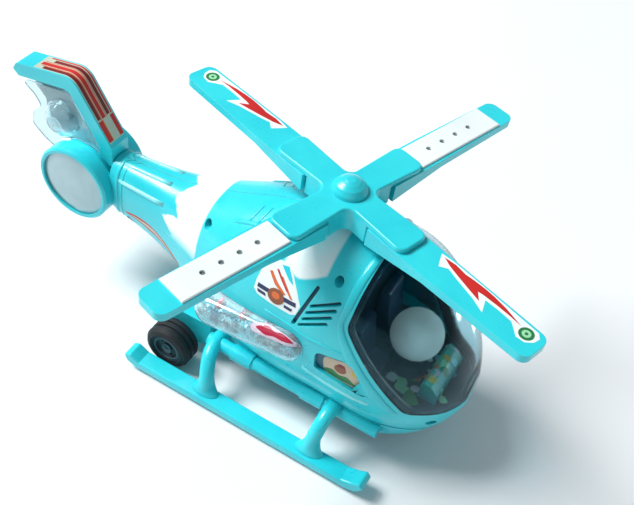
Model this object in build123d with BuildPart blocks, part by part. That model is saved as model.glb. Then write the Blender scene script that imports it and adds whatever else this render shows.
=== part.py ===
from build123d import *

import math
import os

# Battery toy helicopter, in millimetres. The nose points along +X, +Y is the port side and +Z is
# up. The pieces are laid out with the ground at z = 0 and the hull's stations along X. On export
# everything moves along X, so that the origin is the middle of the bounding box, on the ground.

os.makedirs("parts", exist_ok=True)

# ---- hull -----------------------------------------------------------------------------------
WALL = 2.0
LINER = 1.5
SPLIT_Z = 32.0  # the belly pan ends and the two side shells begin
SEAM = 0.1  # half the gap between neighbouring shells
# Sections of the hull: x, lowest z, highest z, z of the greatest width, half width, squareness.
HULL = (
    (-150.0, 57.0, 96.0, 76.0, 12.5, 2.8),
    (-128.0, 52.0, 97.0, 74.0, 15.0, 2.7),
    (-105.0, 46.0, 100.0, 72.0, 19.5, 2.6),
    (-80.0, 35.0, 107.0, 69.0, 28.0, 2.5),
    (-55.0, 24.0, 118.0, 66.0, 37.0, 2.4),
    (-30.0, 18.0, 128.0, 63.0, 42.0, 2.4),
    (0.0, 17.0, 133.0, 62.0, 44.0, 2.4),
    (28.0, 17.0, 132.0, 62.0, 44.0, 2.5),
    (50.0, 14.0, 124.0, 62.0, 41.5, 2.6),
    (66.0, 14.0, 110.0, 60.0, 36.0, 2.5),
    (78.0, 20.0, 94.0, 58.0, 29.0, 2.3),
    (87.0, 32.0, 77.0, 56.0, 19.0, 2.1),
    (91.5, 42.0, 65.0, 55.0, 8.0, 2.0),
)
SECTION_POINTS = 20
# Outline of the belly pan's rim: x and half width.
PAN = (
    (-70.0, 13.1), (-60.0, 22.7), (-45.0, 29.9), (-25.0, 34.7), (0.0, 36.4), (28.0, 37.0),
    (50.0, 36.6), (66.0, 31.7), (78.0, 23.2), (85.0, 11.9),
)
PAN_REAR_X, PAN_NOSE_X, PAN_MIDDLE_X, PAN_END_X = -73.0, 87.6, 7.0, -60.2
# Levels of the pan: z, rear x, nose x, share of the rim's width.
PAN_LEVELS = (
    (31.8, -73.0, 87.6, 1.0), (25.0, -72.0, 83.0, 0.99), (18.5, -70.0, 77.0, 0.96),
    (14.0, -66.0, 70.0, 0.9),
)
PAN_LOW_Z = PAN_LEVELS[-1][0]
SHELL_SCREWS = ((12.3, 118.5), (-72.9, 100.8), (-135.0, 60.0), (-74.0, 50.0), (80.0, 42.0))
BOSS_R, HEAD_R, HEAD_Y, SHANK_R, SHANK_END_Y = 3.4, 2.4, -9.0, 1.2, 12.0
LONGERON_R, LONGERON_Y, LONGERON_Z, LONGERON_X = 4.2, 36.8, 26.5, (-58.0, 56.0)
COLLAR_XS = (-34.0, 14.0)

# ---- side features --------------------------------------------------------------------------
# Vent slots: x and z of both ends.
VENT_SLOTS = (
    (2.4, 100.4, 18.0, 110.0), (1.2, 95.6, 17.0, 105.3), (0.1, 90.8, 15.8, 100.5),
    (-1.2, 86.0, 14.6, 95.7), (-4.4, 84.5, 3.5, 112.5),
)
VENT_W = 2.1
WINDOW = ((12.0, 74.0), (33.5, 79.0), (49.0, 56.0), (13.0, 61.5))
WINDOW_R = ((0, 4.0), (1, 4.0), (2, 3.0), (3, 3.0))
WINDOW_PANEL = ((9.0, 77.0), (34.0, 82.0), (53.0, 54.0), (10.0, 57.5))
POD_X, POD_Z, POD_L, POD_H, POD_TILT = -29.5, 65.0, 70.0, 21.0, 7.0
POD_Y_IN, POD_Y_OUT, POD_SKIN, POD_ROUND = 33.5, 50.0, 1.2, 6.5
POD_LAMP_XS = (-52.0, -36.0, -20.0, -4.0)
LAMP_R = 2.5

# ---- canopy and cockpit ---------------------------------------------------------------------
CANOPY = ((28.5, 150.0), (26.0, 118.0), (25.0, 99.0), (66.5, 51.0), (120.0, 54.0), (120.0, 150.0))
CANOPY_R = ((2, 9.0), (3, 8.0))
RIM_IN, RIM_OUT = 3.0, 4.0
FLOOR_Z, FLOOR_T, BULKHEAD_X, BULKHEAD_TOP_Z = 47.0, 1.5, 20.5, 125.0
COCKPIT_GAP = 0.2
SEAT = ((24.0, 0.0), (42.0, 0.0), (43.0, 8.8), (33.0, 9.8), (29.0, 36.8), (24.0, 36.8))
SEAT_R, SEAT_W, SEAT_Y = ((2, 2.5), (3, 3.0), (4, 2.4)), 18.0, 17.0
DASH = ((66.0, 0.0), (77.0, 0.0), (77.0, 6.8), (72.0, 11.8), (68.0, 12.8), (66.0, 8.8))
DASH_W = 34.0
GLOBE_X, GLOBE_Z, GLOBE_R, GLOBE_WALL, GLOBE_MOUTH_R = 52.0, 74.0, 15.0, 1.2, 6.0

# ---- tail -----------------------------------------------------------------------------------
DRUM_X, DRUM_Z, DRUM_R, DRUM_HALF = -172.0, 73.0, 25.0, 20.0
DRUM_NECK_R, DRUM_NECK_HALF, LENS_R, DRUM_WALL = 21.5, 10.0, 22.0, 2.0
FIN_HALF = 7.5
FIN_BAND = (
    (-150.5, 90.0), (-151.0, 103.5), (-177.5, 141.5), (-219.0, 133.0), (-222.0, 128.0),
    (-218.0, 124.5), (-181.0, 131.5), (-160.0, 101.0), (-160.0, 90.0),
)
FIN_R = ((2, 10.0), (3, 2.5), (4, 1.5), (6, 6.0))
TAIL_GLASS = (
    (-160.0, 99.0), (-180.5, 129.5), (-216.5, 122.8), (-207.0, 116.0), (-202.5, 109.5),
    (-209.5, 103.0), (-211.0, 93.0), (-203.0, 86.5), (-190.0, 80.0), (-160.0, 80.0),
)
TAIL_GLASS_R, TAIL_GLASS_T = ((2, 2.0), (4, 3.0), (5, 3.0), (6, 3.0), (7, 3.0)), 1.6
TAIL_WEB = ((-160.0, 99.0), (-180.5, 129.5), (-213.0, 122.5), (-203.0, 112.0), (-204.0, 92.0),
            (-160.0, 84.0))
TAIL_WEB_T = 3.0
BLISTER_X, BLISTER_Z, BLISTER_R, BLISTER_Y = -186.0, 109.5, 12.0, 17.0

# ---- rotor ----------------------------------------------------------------------------------
ROTOR_X, ROTOR_R, ROTOR_ANGLE = -4.0, 125.0, -17.5
BLADE_TOP_Z, BLADE_DEEP, BLADE_THIN, BLADE_SKIN = 147.5, 10.5, 4.6, 1.6
BLADE_START_R, BLADE_FLAT_R, BLADE_ROOT_W, BLADE_TIP_W, TIP_ROUND = 24.2, 62.0, 21.0, 18.5, 5.0
BLADE_RIBS_R = (48.0, 74.0, 100.0)
ARM_END_R, ARM_ROOT_W, ARM_END_W, ARM_H = 47.0, 17.0, 20.5, 3.0
HUB_LOW_Z, CAP_R, CAP_H = 136.5, 9.8, 7.2
COVER_START_R, COVER_END_R, COVER_W, COVER_T = 47.3, 112.0, 17.6, 1.2
COVER_HOLES_R, COVER_HOLE_R = (61.0, 72.0, 83.0, 94.0), 1.5
SHAFT_R, BUSH_R, RUNNING = 1.5, 4.0, 0.05
BUSH_Z = (128.0, 129.5, 134.5)  # flange underside, flange top, top of the bush

# ---- rotor gearing --------------------------------------------------------------------------
MODULE, PRESSURE, BACKLASH = 0.8, math.radians(20.0), 0.04
PINION_TEETH, GEAR_TEETH = 10, 36
GEAR_Z, GEAR_T, GEAR_BOSS_R, GEAR_BOSS_H = 110.0, 4.0, 4.0, 4.0
GEAR_SPACING = MODULE * (PINION_TEETH + GEAR_TEETH) / 2 + 0.08
MOTOR_X = ROTOR_X - GEAR_SPACING
PLATE_Z, PLATE_T, PLATE_W = 104.0, 3.0, 44.0
MOTOR_R, MOTOR_FLAT, MOTOR_L, MOTOR_SHAFT_R = 10.0, 7.6, 25.0, 1.0

# ---- running gear ---------------------------------------------------------------------------
WHEEL_X, WHEEL_R, WHEEL_W, WHEEL_Y, WHEEL_HUB_R = -79.0, 15.0, 16.0, 44.5, 9.0
AXLE_R = 1.5
HOUSING_HALF, HOUSING_WALL = 33.0, 2.5
TURN_X, TURN_R, TURN_Z, TURN_T, TURN_GAP = 36.0, 20.5, 11.0, 3.0, 0.8
DRIVE_R, DRIVE_W, DRIVE_Y, DRIVE_RIM_R, DRIVE_AXLE_R = 9.0, 5.0, 13.0, 6.5, 1.0
PIVOT_R = 3.0
SKID_Y, SKID_W, SKID_LOW_Z, SKID_TOP_Z = 59.5, 11.0, 2.0, 8.0
SKID = (
    (-92.0, SKID_LOW_Z), (53.0, SKID_LOW_Z), (60.0, 4.0), (64.5, 10.0), (61.5, 13.5), (56.0, 10.0),
    (50.0, SKID_TOP_Z), (-89.0, SKID_TOP_Z), (-95.5, 11.5), (-100.0, 9.5), (-98.0, 4.5),
)
SKID_R = ((2, 4.0), (3, 2.0), (4, 1.5), (5, 5.0), (8, 1.5), (9, 1.8), (10, 3.0))
STRUT_R = 4.4
FRONT_STRUT = ((27.5, -31, 27), (27.5, -41, 30.5), (27, -50, 27.5), (26, -55.5, 18), (25.5, -57.5, 7))
REAR_STRUT = ((-53, -28, 24), (-53, -37, 27.5), (-51, -47, 26), (-47, -55, 17), (-45.5, -57.5, 7))

# ---- batteries, switch and sound ------------------------------------------------------------
BOX_X, BOX_L, BOX_W, BOX_TOP_Z, BOX_WALL = -20.0, 48.0, 54.0, 32.6, 1.5
CELL_R, CELL_L, CELL_NUB_R, CELL_NUB_L, CELL_PITCH, CELL_Z = 7.1, 50.0, 2.6, 1.2, 14.8, 23.3
DOOR_T, DOOR_GAP, DOOR_SCREW_Y = 1.8, 0.4, -22.0
SWITCH_X, SWITCH_Y, SWITCH_TRAVEL = 13.0, 18.0, 4.0
BOARD_Z, BOARD_X, BOARD_L, BOARD_W, BOARD_T = 36.0, -2.0, 36.0, 48.0, 1.6
SPEAKER_X, SPEAKER_Z = -50.0, 38.0

REACH = 60.0  # further out than any side of the hull
parts = {}


def keep(piece, name):
    """Labels a finished piece and puts it by for export."""
    piece.part.label = name
    parts[name] = piece.part


def hull_solid(inset):
    """Solid loft through every hull section, shrunk by inset all round."""
    shift = [inset] + [0.0] * (len(HULL) - 2) + [-inset]
    with BuildPart() as solid:
        for (x, z_low, z_high, z_wide, half_width, power), dx in zip(HULL, shift):
            points = []
            for i in range(SECTION_POINTS):
                angle = 2 * math.pi * i / SECTION_POINTS
                c, s = math.cos(angle), math.sin(angle)
                across = math.copysign(abs(c) ** (2 / power), c) * (half_width - inset)
                rise = (z_high - z_wide if s > 0 else z_wide - z_low) - inset
                points.append((across, z_wide + math.copysign(abs(s) ** (2 / power), s) * rise))
            with BuildSketch(Plane.YZ.offset(x + dx)):
                with BuildLine():
                    Spline(*points, periodic=True)
                make_face()
        loft()
    return solid.part


def pan_solid(inset, lift):
    """Solid of the belly pan, shrunk by inset; lift raises its floor and its top."""
    with BuildPart() as solid:
        for i, (z, rear, nose, share) in enumerate(PAN_LEVELS):
            scaled = []
            for x, half in ((PAN_REAR_X, 0.0), *PAN, (PAN_NOSE_X, 0.0)):
                full, end = (PAN_REAR_X, rear + inset) if x < PAN_MIDDLE_X else (
                    PAN_NOSE_X, nose - inset)
                stretch = (end - PAN_MIDDLE_X) / (full - PAN_MIDDLE_X)
                along = PAN_MIDDLE_X + (x - PAN_MIDDLE_X) * stretch
                scaled.append((along, half * (share - inset / PAN[5][1])))
            points = scaled + [(x, -half) for x, half in reversed(scaled[1:-1])]
            level = z + (lift if i in (0, len(PAN_LEVELS) - 1) else 0.0)
            with BuildSketch(Plane.XY.offset(level)):
                with BuildLine():
                    Spline(*points, periodic=True)
                make_face()
        loft()
    return solid.part


def side_prism(points, y_low, y_high, radii=()):
    """Prism along Y with an outline in the XZ plane; radii pairs a corner's index with a radius."""
    with BuildPart() as prism:
        with BuildSketch(Plane.XZ.offset(-y_high)) as outline:
            with BuildLine():
                Polyline(*points, close=True)
            make_face()
            for index, radius in radii:
                x, z = points[index]
                fillet([v for v in outline.vertices() if math.hypot(v.X - x, v.Y - z) < 1e-3], radius)
        extrude(amount=y_high - y_low)
    return prism.part


def block(x_low, x_high, y_low, y_high, z_low, z_high):
    """Box between two corners."""
    with BuildPart() as solid:
        with Locations(((x_low + x_high) / 2, (y_low + y_high) / 2, (z_low + z_high) / 2)):
            Box(x_high - x_low, y_high - y_low, z_high - z_low)
    return solid.part


def rod(radius, start, end):
    """Round bar between two points."""
    a, b = Vector(*start), Vector(*end)
    with BuildPart() as bar:
        with BuildSketch(Plane(origin=a, z_dir=b - a)):
            Circle(radius)
        extrude(amount=(b - a).length)
    return bar.part


def bar_y(radius, x, z, y_low, y_high):
    """Round bar along Y."""
    return rod(radius, (x, y_low, z), (x, y_high, z))


def bar_z(radius, x, y, z_low, z_high):
    """Round bar along Z."""
    return rod(radius, (x, y, z_low), (x, y, z_high))


def bent_bar(radius, points):
    """Round bar along a smooth curve through the points."""
    with BuildPart() as bar:
        with BuildLine() as path:
            Spline(*points)
        with BuildSketch(Plane(origin=path.line @ 0, z_dir=path.line % 0)):
            Circle(radius)
        sweep()
    return bar.part


def spun_z(profile, x=0.0):
    """Solid of revolution about a vertical axis from an outline of radius and height."""
    with BuildPart() as solid:
        with BuildSketch(Plane.XZ.shift_origin((x, 0, 0))):
            with BuildLine():
                Polyline(*profile, close=True)
            make_face()
        revolve(axis=Axis((x, 0, 0), (0, 0, 1)))
    return solid.part


def spun_y(profile, x, z, y=0.0):
    """Solid of revolution about an axis along Y from an outline of radius and reach."""
    with BuildPart() as solid:
        with BuildSketch(Plane.XY.shift_origin((x, y, 0)).offset(z)):
            with BuildLine():
                Polyline(*profile, close=True)
            make_face()
        revolve(axis=Axis((x, y, z), (0, 1, 0)))
    return solid.part


def pod_block(side, grow, reach):
    """Slot-shaped block of a side light pod, grown all round and reaching out to a distance."""
    start = max(side * POD_Y_IN, side * reach)
    with BuildPart() as pod:
        with BuildSketch(Plane.XZ.offset(-start)):
            with Locations(Location((POD_X, POD_Z), POD_TILT)):
                SlotOverall(POD_L + 2 * grow, POD_H + 2 * grow)
        extrude(amount=reach - POD_Y_IN)
    return pod.part


def biggest(solids):
    """The largest of several solids."""
    return solids.sort_by(SortBy.VOLUME)[-1]


def on_mast(shape, angle=0.0):
    """A shape laid out round the origin, moved to the mast at the rotor's rest angle."""
    return Pos(ROTOR_X, 0, 0) * Rot(0, 0, ROTOR_ANGLE + angle) * shape


HULL_OUT = hull_solid(0.0)
HULL_IN = hull_solid(WALL)
HULL_LINER = hull_solid(WALL + LINER)
HULL_BOSS = hull_solid(0.8)
PAN_OUT = pan_solid(0.0, 0.0)
PAN_IN = pan_solid(WALL, 2.0)
CANOPY_HOLE = side_prism(CANOPY, -REACH, REACH, CANOPY_R)
DRUM_ROOM = bar_y(DRUM_R + SEAM, DRUM_X, DRUM_Z, -30, 30)

# ---- hull shells, split along the middle -----------------------------------------------------
with BuildPart() as wall:
    add(HULL_OUT)
    add(HULL_IN, mode=Mode.SUBTRACT)
    with Locations((0, 0, SPLIT_Z)):
        Box(400, 200, 100, align=(Align.CENTER, Align.CENTER, Align.MAX), mode=Mode.SUBTRACT)
    add(DRUM_ROOM, mode=Mode.SUBTRACT)
    add(CANOPY_HOLE, mode=Mode.SUBTRACT)
    add(bar_z(BUSH_R, ROTOR_X, 0, 120, 140), mode=Mode.SUBTRACT)


def shell(side):
    """One half of the hull with its vents, window, light pod opening and screw posts."""
    low, high = (-REACH, -SEAM) if side < 0 else (SEAM, REACH)
    with BuildPart() as half:
        add(wall.part)
        add(block(-200, 200, low, high, 0, 200), mode=Mode.INTERSECT)
        for x0, z0, x1, z1 in VENT_SLOTS:
            tilt = math.degrees(math.atan2(z1 - z0, x1 - x0))
            with BuildSketch(Plane.XZ.offset(-high)):
                with Locations(Location(((x0 + x1) / 2, (z0 + z1) / 2), tilt)):
                    SlotOverall(math.hypot(x1 - x0, z1 - z0), VENT_W)
            extrude(amount=high - low, mode=Mode.SUBTRACT)
        add(side_prism(WINDOW, low, high, WINDOW_R), mode=Mode.SUBTRACT)
        add(pod_block(side, 0.15, POD_Y_OUT + 8), mode=Mode.SUBTRACT)
        for x, z in SHELL_SCREWS:
            with BuildPart(mode=Mode.PRIVATE) as post:
                add(bar_y(BOSS_R, x, z, low, high))
                add(HULL_BOSS, mode=Mode.INTERSECT)
            add(post.part)
        for x, z in SHELL_SCREWS:
            add(bar_y(SHANK_R, x, z, -REACH, SHANK_END_Y + 1), mode=Mode.SUBTRACT)
            if side < 0:
                add(bar_y(HEAD_R + 0.2, x, z, -REACH, HEAD_Y), mode=Mode.SUBTRACT)
    return half


keep(shell(-1), "right_shell")
keep(shell(1), "left_shell")

with BuildPart() as shell_screws:
    for x, z in SHELL_SCREWS:
        add(bar_y(HEAD_R, x, z, HEAD_Y - 1.6, HEAD_Y))
        add(bar_y(SHANK_R, x, z, HEAD_Y, SHANK_END_Y))
        with Locations((x, HEAD_Y - 1.6, z)):
            Box(3.2, 1.2, 0.6, mode=Mode.SUBTRACT)
            Box(0.6, 1.2, 3.2, mode=Mode.SUBTRACT)
keep(shell_screws, "shell_screws")

# ---- belly pan and the side tubes let into its corners ---------------------------------------
with BuildPart() as belly_pan:
    add(PAN_OUT)
    add(PAN_IN, mode=Mode.SUBTRACT)
    with Locations((BOX_X, 0, PAN_LOW_Z)):
        Box(BOX_L, BOX_W, 2 * WALL, mode=Mode.SUBTRACT)
    with Locations((TURN_X, 0, PAN_LOW_Z)):
        Cylinder(TURN_R + TURN_GAP, 8, mode=Mode.SUBTRACT)
    with Locations((SWITCH_X, SWITCH_Y, PAN_LOW_Z)):
        Box(SWITCH_TRAVEL + 4, 4.8, 8, mode=Mode.SUBTRACT)
    with BuildSketch(Plane.YZ.offset(-80)):
        with Locations((-LONGERON_Y, LONGERON_Z), (LONGERON_Y, LONGERON_Z)):
            Circle(LONGERON_R)
    extrude(amount=160, mode=Mode.SUBTRACT)
    with Locations((PAN_END_X, 0, 0)):
        Box(40, 120, 120, align=(Align.MAX, Align.CENTER, Align.CENTER), mode=Mode.SUBTRACT)
keep(belly_pan, "belly_pan")

with BuildPart() as tube:
    with BuildSketch(Plane.YZ.offset(LONGERON_X[0])):
        with Locations((-LONGERON_Y, LONGERON_Z)):
            Circle(LONGERON_R - 0.05)
    extrude(amount=LONGERON_X[1] - LONGERON_X[0])
    for x in COLLAR_XS:
        with BuildSketch(Plane.YZ.offset(x - 7)):
            with Locations((-LONGERON_Y, LONGERON_Z)):
                Circle(LONGERON_R + 0.9)
        extrude(amount=14)
    add(PAN_IN, mode=Mode.SUBTRACT)
    add(belly_pan.part, mode=Mode.SUBTRACT)
    with Locations((0, 0, SPLIT_Z - 0.1)):
        Box(400, 200, 40, align=(Align.CENTER, Align.CENTER, Align.MIN), mode=Mode.SUBTRACT)
TUBE = biggest(tube.solids())
with BuildPart() as longerons:
    add(TUBE)
    mirror(about=Plane.XZ)
keep(longerons, "longerons")

# ---- rear axle and wheels --------------------------------------------------------------------
with BuildPart() as axle_housing:
    with BuildSketch(Plane.XZ.offset(-HOUSING_HALF)):
        with BuildLine():
            Polyline((-92, 31), (-92, 17), (-85, 8.5), (-73, 8.5), (-60.4, 14.5), (-60.4, 31.6),
                     close=True)
        make_face()
    extrude(amount=2 * HOUSING_HALF)
    for side in (-1, 1):
        with Locations((-76, side * (HOUSING_HALF + 0.5) / 2, 19.75)):
            Box(27, HOUSING_HALF - 5.5, 18.5, mode=Mode.SUBTRACT)
    add(HULL_OUT, mode=Mode.SUBTRACT)
    add(bar_y(AXLE_R + 1.7, WHEEL_X, WHEEL_R, -HOUSING_HALF, HOUSING_HALF))
    add(bar_y(AXLE_R + RUNNING, WHEEL_X, WHEEL_R, -40, 40), mode=Mode.SUBTRACT)
keep(axle_housing, "axle_housing")

with BuildPart() as rear_axle:
    add(bar_y(AXLE_R, WHEEL_X, WHEEL_R, -WHEEL_Y - 5, WHEEL_Y + 5))
keep(rear_axle, "rear_axle")

w = WHEEL_W / 2
tyre_profile = (
    (WHEEL_HUB_R, 1 - w), (WHEEL_R - 4, -w), (WHEEL_R - 1.5, 1 - w), (WHEEL_R, 3 - w),
    (WHEEL_R, -3), (WHEEL_R - 1.2, -2.4), (WHEEL_R - 1.2, -1.6), (WHEEL_R, -1), (WHEEL_R, 1),
    (WHEEL_R - 1.2, 1.6), (WHEEL_R - 1.2, 2.4), (WHEEL_R, 3), (WHEEL_R, w - 3),
    (WHEEL_R - 1.5, w - 1), (WHEEL_R - 4, w), (WHEEL_HUB_R, w - 1),
)
hub_profile = (
    (AXLE_R, 2.5 - w), (3.5, 1.5 - w), (3.5, 3.5 - w), (WHEEL_HUB_R - 1.5, 3.5 - w),
    (WHEEL_HUB_R - 1.5, 1.2 - w), (WHEEL_HUB_R, 1.2 - w), (WHEEL_HUB_R, w - 1.2), (AXLE_R, w - 1.2),
)
with BuildPart() as rear_tyres:
    add(spun_y(tyre_profile, WHEEL_X, WHEEL_R, -WHEEL_Y))
    mirror(about=Plane.XZ)
keep(rear_tyres, "rear_tyres")
with BuildPart() as rear_hubs:
    add(spun_y(hub_profile, WHEEL_X, WHEEL_R, -WHEEL_Y))
    with BuildSketch(Plane.XZ.offset(WHEEL_Y).shift_origin((WHEEL_X, -WHEEL_Y, WHEEL_R))):
        with PolarLocations(5.6, 5):
            Circle(1.2)
    extrude(amount=w, mode=Mode.SUBTRACT)
    mirror(about=Plane.XZ)
keep(rear_hubs, "rear_hubs")

# ---- skids and struts ------------------------------------------------------------------------
with BuildPart() as skid_right:
    add(side_prism(SKID, -SKID_Y - SKID_W / 2, -SKID_Y + SKID_W / 2, SKID_R))
    fillet(skid_right.faces().filter_by(Axis.Y).edges(), 1.2)
keep(skid_right, "skid_right")
with BuildPart() as skid_left:
    mirror(skid_right.part, about=Plane.XZ)
keep(skid_left, "skid_left")


def struts(points):
    """A starboard strut trimmed to the pan, side tube and skid, with its port twin."""
    with BuildPart() as trimmed:
        add(bent_bar(STRUT_R, points))
        for neighbour in (PAN_OUT, HULL_OUT, TUBE, skid_right.part):
            add(neighbour, mode=Mode.SUBTRACT)
    with BuildPart() as both:
        add(biggest(trimmed.solids()))
        mirror(about=Plane.XZ)
    return both


keep(struts(FRONT_STRUT), "front_struts")
keep(struts(REAR_STRUT), "rear_struts")

# ---- front drive unit: a turntable with two driven wheels -------------------------------------
turn_top = TURN_Z + TURN_T
with BuildPart() as drive_turntable:
    add(bar_z(TURN_R, TURN_X, 0, TURN_Z, turn_top))
    with Locations((TURN_X, 0, turn_top + 6.5)):
        Box(22, 17, 13)
    add(bar_z(PIVOT_R, TURN_X, 0, turn_top + 12, turn_top + 19))
    with Locations((TURN_X, 0, 16.25)):
        Box(19, 14, 18.5, mode=Mode.SUBTRACT)
    with Locations((TURN_X, DRIVE_Y, 15), (TURN_X, -DRIVE_Y, 15)):
        Box(20, 6.4, 30, mode=Mode.SUBTRACT)
    with Locations((TURN_X, 7.9, 8.25), (TURN_X, -7.9, 8.25)):
        Box(6, 1.8, 5.6)
    add(bar_y(DRIVE_AXLE_R + RUNNING, TURN_X, DRIVE_R, -17, 17), mode=Mode.SUBTRACT)
keep(drive_turntable, "drive_turntable")
with BuildPart() as drive_motor:
    with Locations((TURN_X, 0, 18.7)):
        Box(18.6, 13.6, 13.0)
keep(drive_motor, "drive_motor")
with BuildPart() as drive_axle:
    add(bar_y(DRIVE_AXLE_R, TURN_X, DRIVE_R, -DRIVE_Y - 2.5, DRIVE_Y + 2.5))
keep(drive_axle, "drive_axle")
rim_profile = ((DRIVE_AXLE_R, -2.4), (DRIVE_RIM_R, -2.4), (DRIVE_RIM_R, 2.4), (DRIVE_AXLE_R, 2.4))
band_profile = ((DRIVE_RIM_R, -2.5), (8.4, -2.5), (DRIVE_R, -1.6), (DRIVE_R, 1.6), (8.4, 2.5),
                (DRIVE_RIM_R, 2.5))
with BuildPart() as drive_rims:
    add(spun_y(rim_profile, TURN_X, DRIVE_R, -DRIVE_Y))
    mirror(about=Plane.XZ)
keep(drive_rims, "drive_rims")
with BuildPart() as drive_tyres:
    add(spun_y(band_profile, TURN_X, DRIVE_R, -DRIVE_Y))
    mirror(about=Plane.XZ)
keep(drive_tyres, "drive_tyres")
with BuildPart() as pivot_bracket:
    with Locations((TURN_X, 0, turn_top + 16.5)):
        Box(14, 60, 3)
    add(bar_z(5.5, TURN_X, 0, turn_top + 15, turn_top + 20))
    add(bar_z(PIVOT_R + RUNNING, TURN_X, 0, 20, 50), mode=Mode.SUBTRACT)
keep(pivot_bracket, "pivot_bracket")

# ---- battery box ----------------------------------------------------------------------------
box_low_z = PAN_LOW_Z + WALL
with BuildPart() as battery_box:
    with Locations((BOX_X, 0, (box_low_z + BOX_TOP_Z) / 2)):
        Box(BOX_L, BOX_W, BOX_TOP_Z - box_low_z)
    with Locations((BOX_X, 0, BOX_TOP_Z - BOX_WALL)):
        Box(BOX_L - 2 * BOX_WALL, BOX_W - 2 * BOX_WALL, 40,
            align=(Align.CENTER, Align.CENTER, Align.MAX), mode=Mode.SUBTRACT)
    add(PAN_IN, mode=Mode.INTERSECT)
keep(battery_box, "battery_box")
with BuildPart() as batteries:
    for i in (-1, 0, 1):
        x, way = BOX_X + i * CELL_PITCH, 1 if i else -1
        ends = sorted((-CELL_L / 2 * way, (CELL_L / 2 - CELL_NUB_L) * way))
        nub = sorted(((CELL_L / 2 - CELL_NUB_L) * way, CELL_L / 2 * way))
        add(bar_y(CELL_R, x, CELL_Z, *ends))
        add(bar_y(CELL_NUB_R, x, CELL_Z, *nub))
keep(batteries, "batteries")
with BuildPart() as battery_contacts:
    for i in (-1, 0, 1):
        with Locations((BOX_X + i * CELL_PITCH, CELL_L / 2 + 0.25, CELL_Z)):
            Box(9, 0.4, 8)
    mirror(about=Plane.XZ)
keep(battery_contacts, "battery_contacts")
with BuildPart() as battery_door:
    with Locations((BOX_X, 0, PAN_LOW_Z + DOOR_T / 2)):
        Box(BOX_L - 2 * DOOR_GAP, BOX_W - 2 * DOOR_GAP, DOOR_T)
    with Locations((BOX_X, 18, PAN_LOW_Z)):
        with GridLocations(3, 0, 7, 1):
            Box(1, 8, 1.2, mode=Mode.SUBTRACT)
    with Locations((BOX_X, DOOR_SCREW_Y, PAN_LOW_Z)):
        Cylinder(2.6, 2.0, mode=Mode.SUBTRACT)
        Cylinder(1.4, 12, mode=Mode.SUBTRACT)
keep(battery_door, "battery_door")
with BuildPart() as door_screw:
    add(bar_z(2.3, BOX_X, DOOR_SCREW_Y, PAN_LOW_Z + 0.1, PAN_LOW_Z + 1.0))
    add(bar_z(1.2, BOX_X, DOOR_SCREW_Y, PAN_LOW_Z + 1.0, PAN_LOW_Z + 2.0))
    with Locations((BOX_X, DOOR_SCREW_Y, PAN_LOW_Z)):
        Box(3, 0.6, 1.2, mode=Mode.SUBTRACT)
keep(door_screw, "door_screw")

# ---- power switch, board and speaker ----------------------------------------------------------
with BuildPart() as switch_body:
    with Locations((SWITCH_X, SWITCH_Y, 19.3)):
        Box(14, 7, 5.4)
    with Locations((SWITCH_X, SWITCH_Y, 17.4)):
        Box(10, 5, 4, mode=Mode.SUBTRACT)
keep(switch_body, "switch_body")
with BuildPart() as switch_knob:
    with Locations((SWITCH_X - SWITCH_TRAVEL / 2, SWITCH_Y, 16.0)):
        Box(3.6, 4, 5.8)
    with Locations((SWITCH_X - SWITCH_TRAVEL / 2, SWITCH_Y, 18.05)):
        Box(5.6, 4.6, 1.7)
keep(switch_knob, "switch_knob")
with BuildPart() as circuit_board:
    with Locations((BOARD_X, 0, BOARD_Z + BOARD_T / 2)):
        Box(BOARD_L, BOARD_W, BOARD_T)
    with Locations((-7, -1, BOARD_Z + BOARD_T + 0.8)):
        Box(10, 10, 1.6)
    with Locations((6.5, -13, BOARD_Z + BOARD_T + 1.7)):
        Box(5, 10, 3.4)
    with Locations((-14, 14, BOARD_Z + BOARD_T + 3.5), (-6, 16, BOARD_Z + BOARD_T + 3.5)):
        Cylinder(2.5, 7)
keep(circuit_board, "circuit_board")
with BuildPart() as speaker:
    z = SPEAKER_Z
    add(spun_z(((0, z), (7, z), (7, z + 4), (14, z + 7), (14.5, z + 7), (14.5, z + 8.5),
                (13.5, z + 8.5), (6, z + 5.2), (0, z + 5.8)), SPEAKER_X))
keep(speaker, "speaker")

# ---- canopy and cockpit -----------------------------------------------------------------------
canopy_edge = [(x + (0.15 if x < 100 else 0), z + (0.1 if z < 60 else 0)) for x, z in CANOPY]
rim_edge = [(x - (RIM_OUT if x < 100 else 0), z - (RIM_OUT if z < 60 else 0)) for x, z in CANOPY]
rim_hole = [(x + (RIM_IN if x < 100 else 0), z + (RIM_IN if z < 60 else 0)) for x, z in CANOPY]
with BuildPart() as canopy:
    add(HULL_OUT)
    add(HULL_IN, mode=Mode.SUBTRACT)
    add(side_prism(canopy_edge, -REACH, REACH, CANOPY_R), mode=Mode.INTERSECT)
keep(canopy, "canopy")
with BuildPart() as canopy_rim:
    add(HULL_IN)
    add(HULL_LINER, mode=Mode.SUBTRACT)
    add(side_prism(rim_edge, -REACH, REACH, CANOPY_R), mode=Mode.INTERSECT)
    add(side_prism(rim_hole, -REACH - 1, REACH + 1, CANOPY_R), mode=Mode.SUBTRACT)
keep(canopy_rim, "canopy_rim")
with BuildPart() as cockpit_floor:
    add(HULL_LINER)
    add(block(BULKHEAD_X, 95, -REACH, REACH, FLOOR_Z - FLOOR_T, FLOOR_Z), mode=Mode.INTERSECT)
keep(cockpit_floor, "cockpit_floor")
with BuildPart() as cockpit_bulkhead:
    add(HULL_LINER)
    add(block(BULKHEAD_X, BULKHEAD_X + FLOOR_T, -REACH, REACH, FLOOR_Z, BULKHEAD_TOP_Z),
        mode=Mode.INTERSECT)
keep(cockpit_bulkhead, "cockpit_bulkhead")
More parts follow.
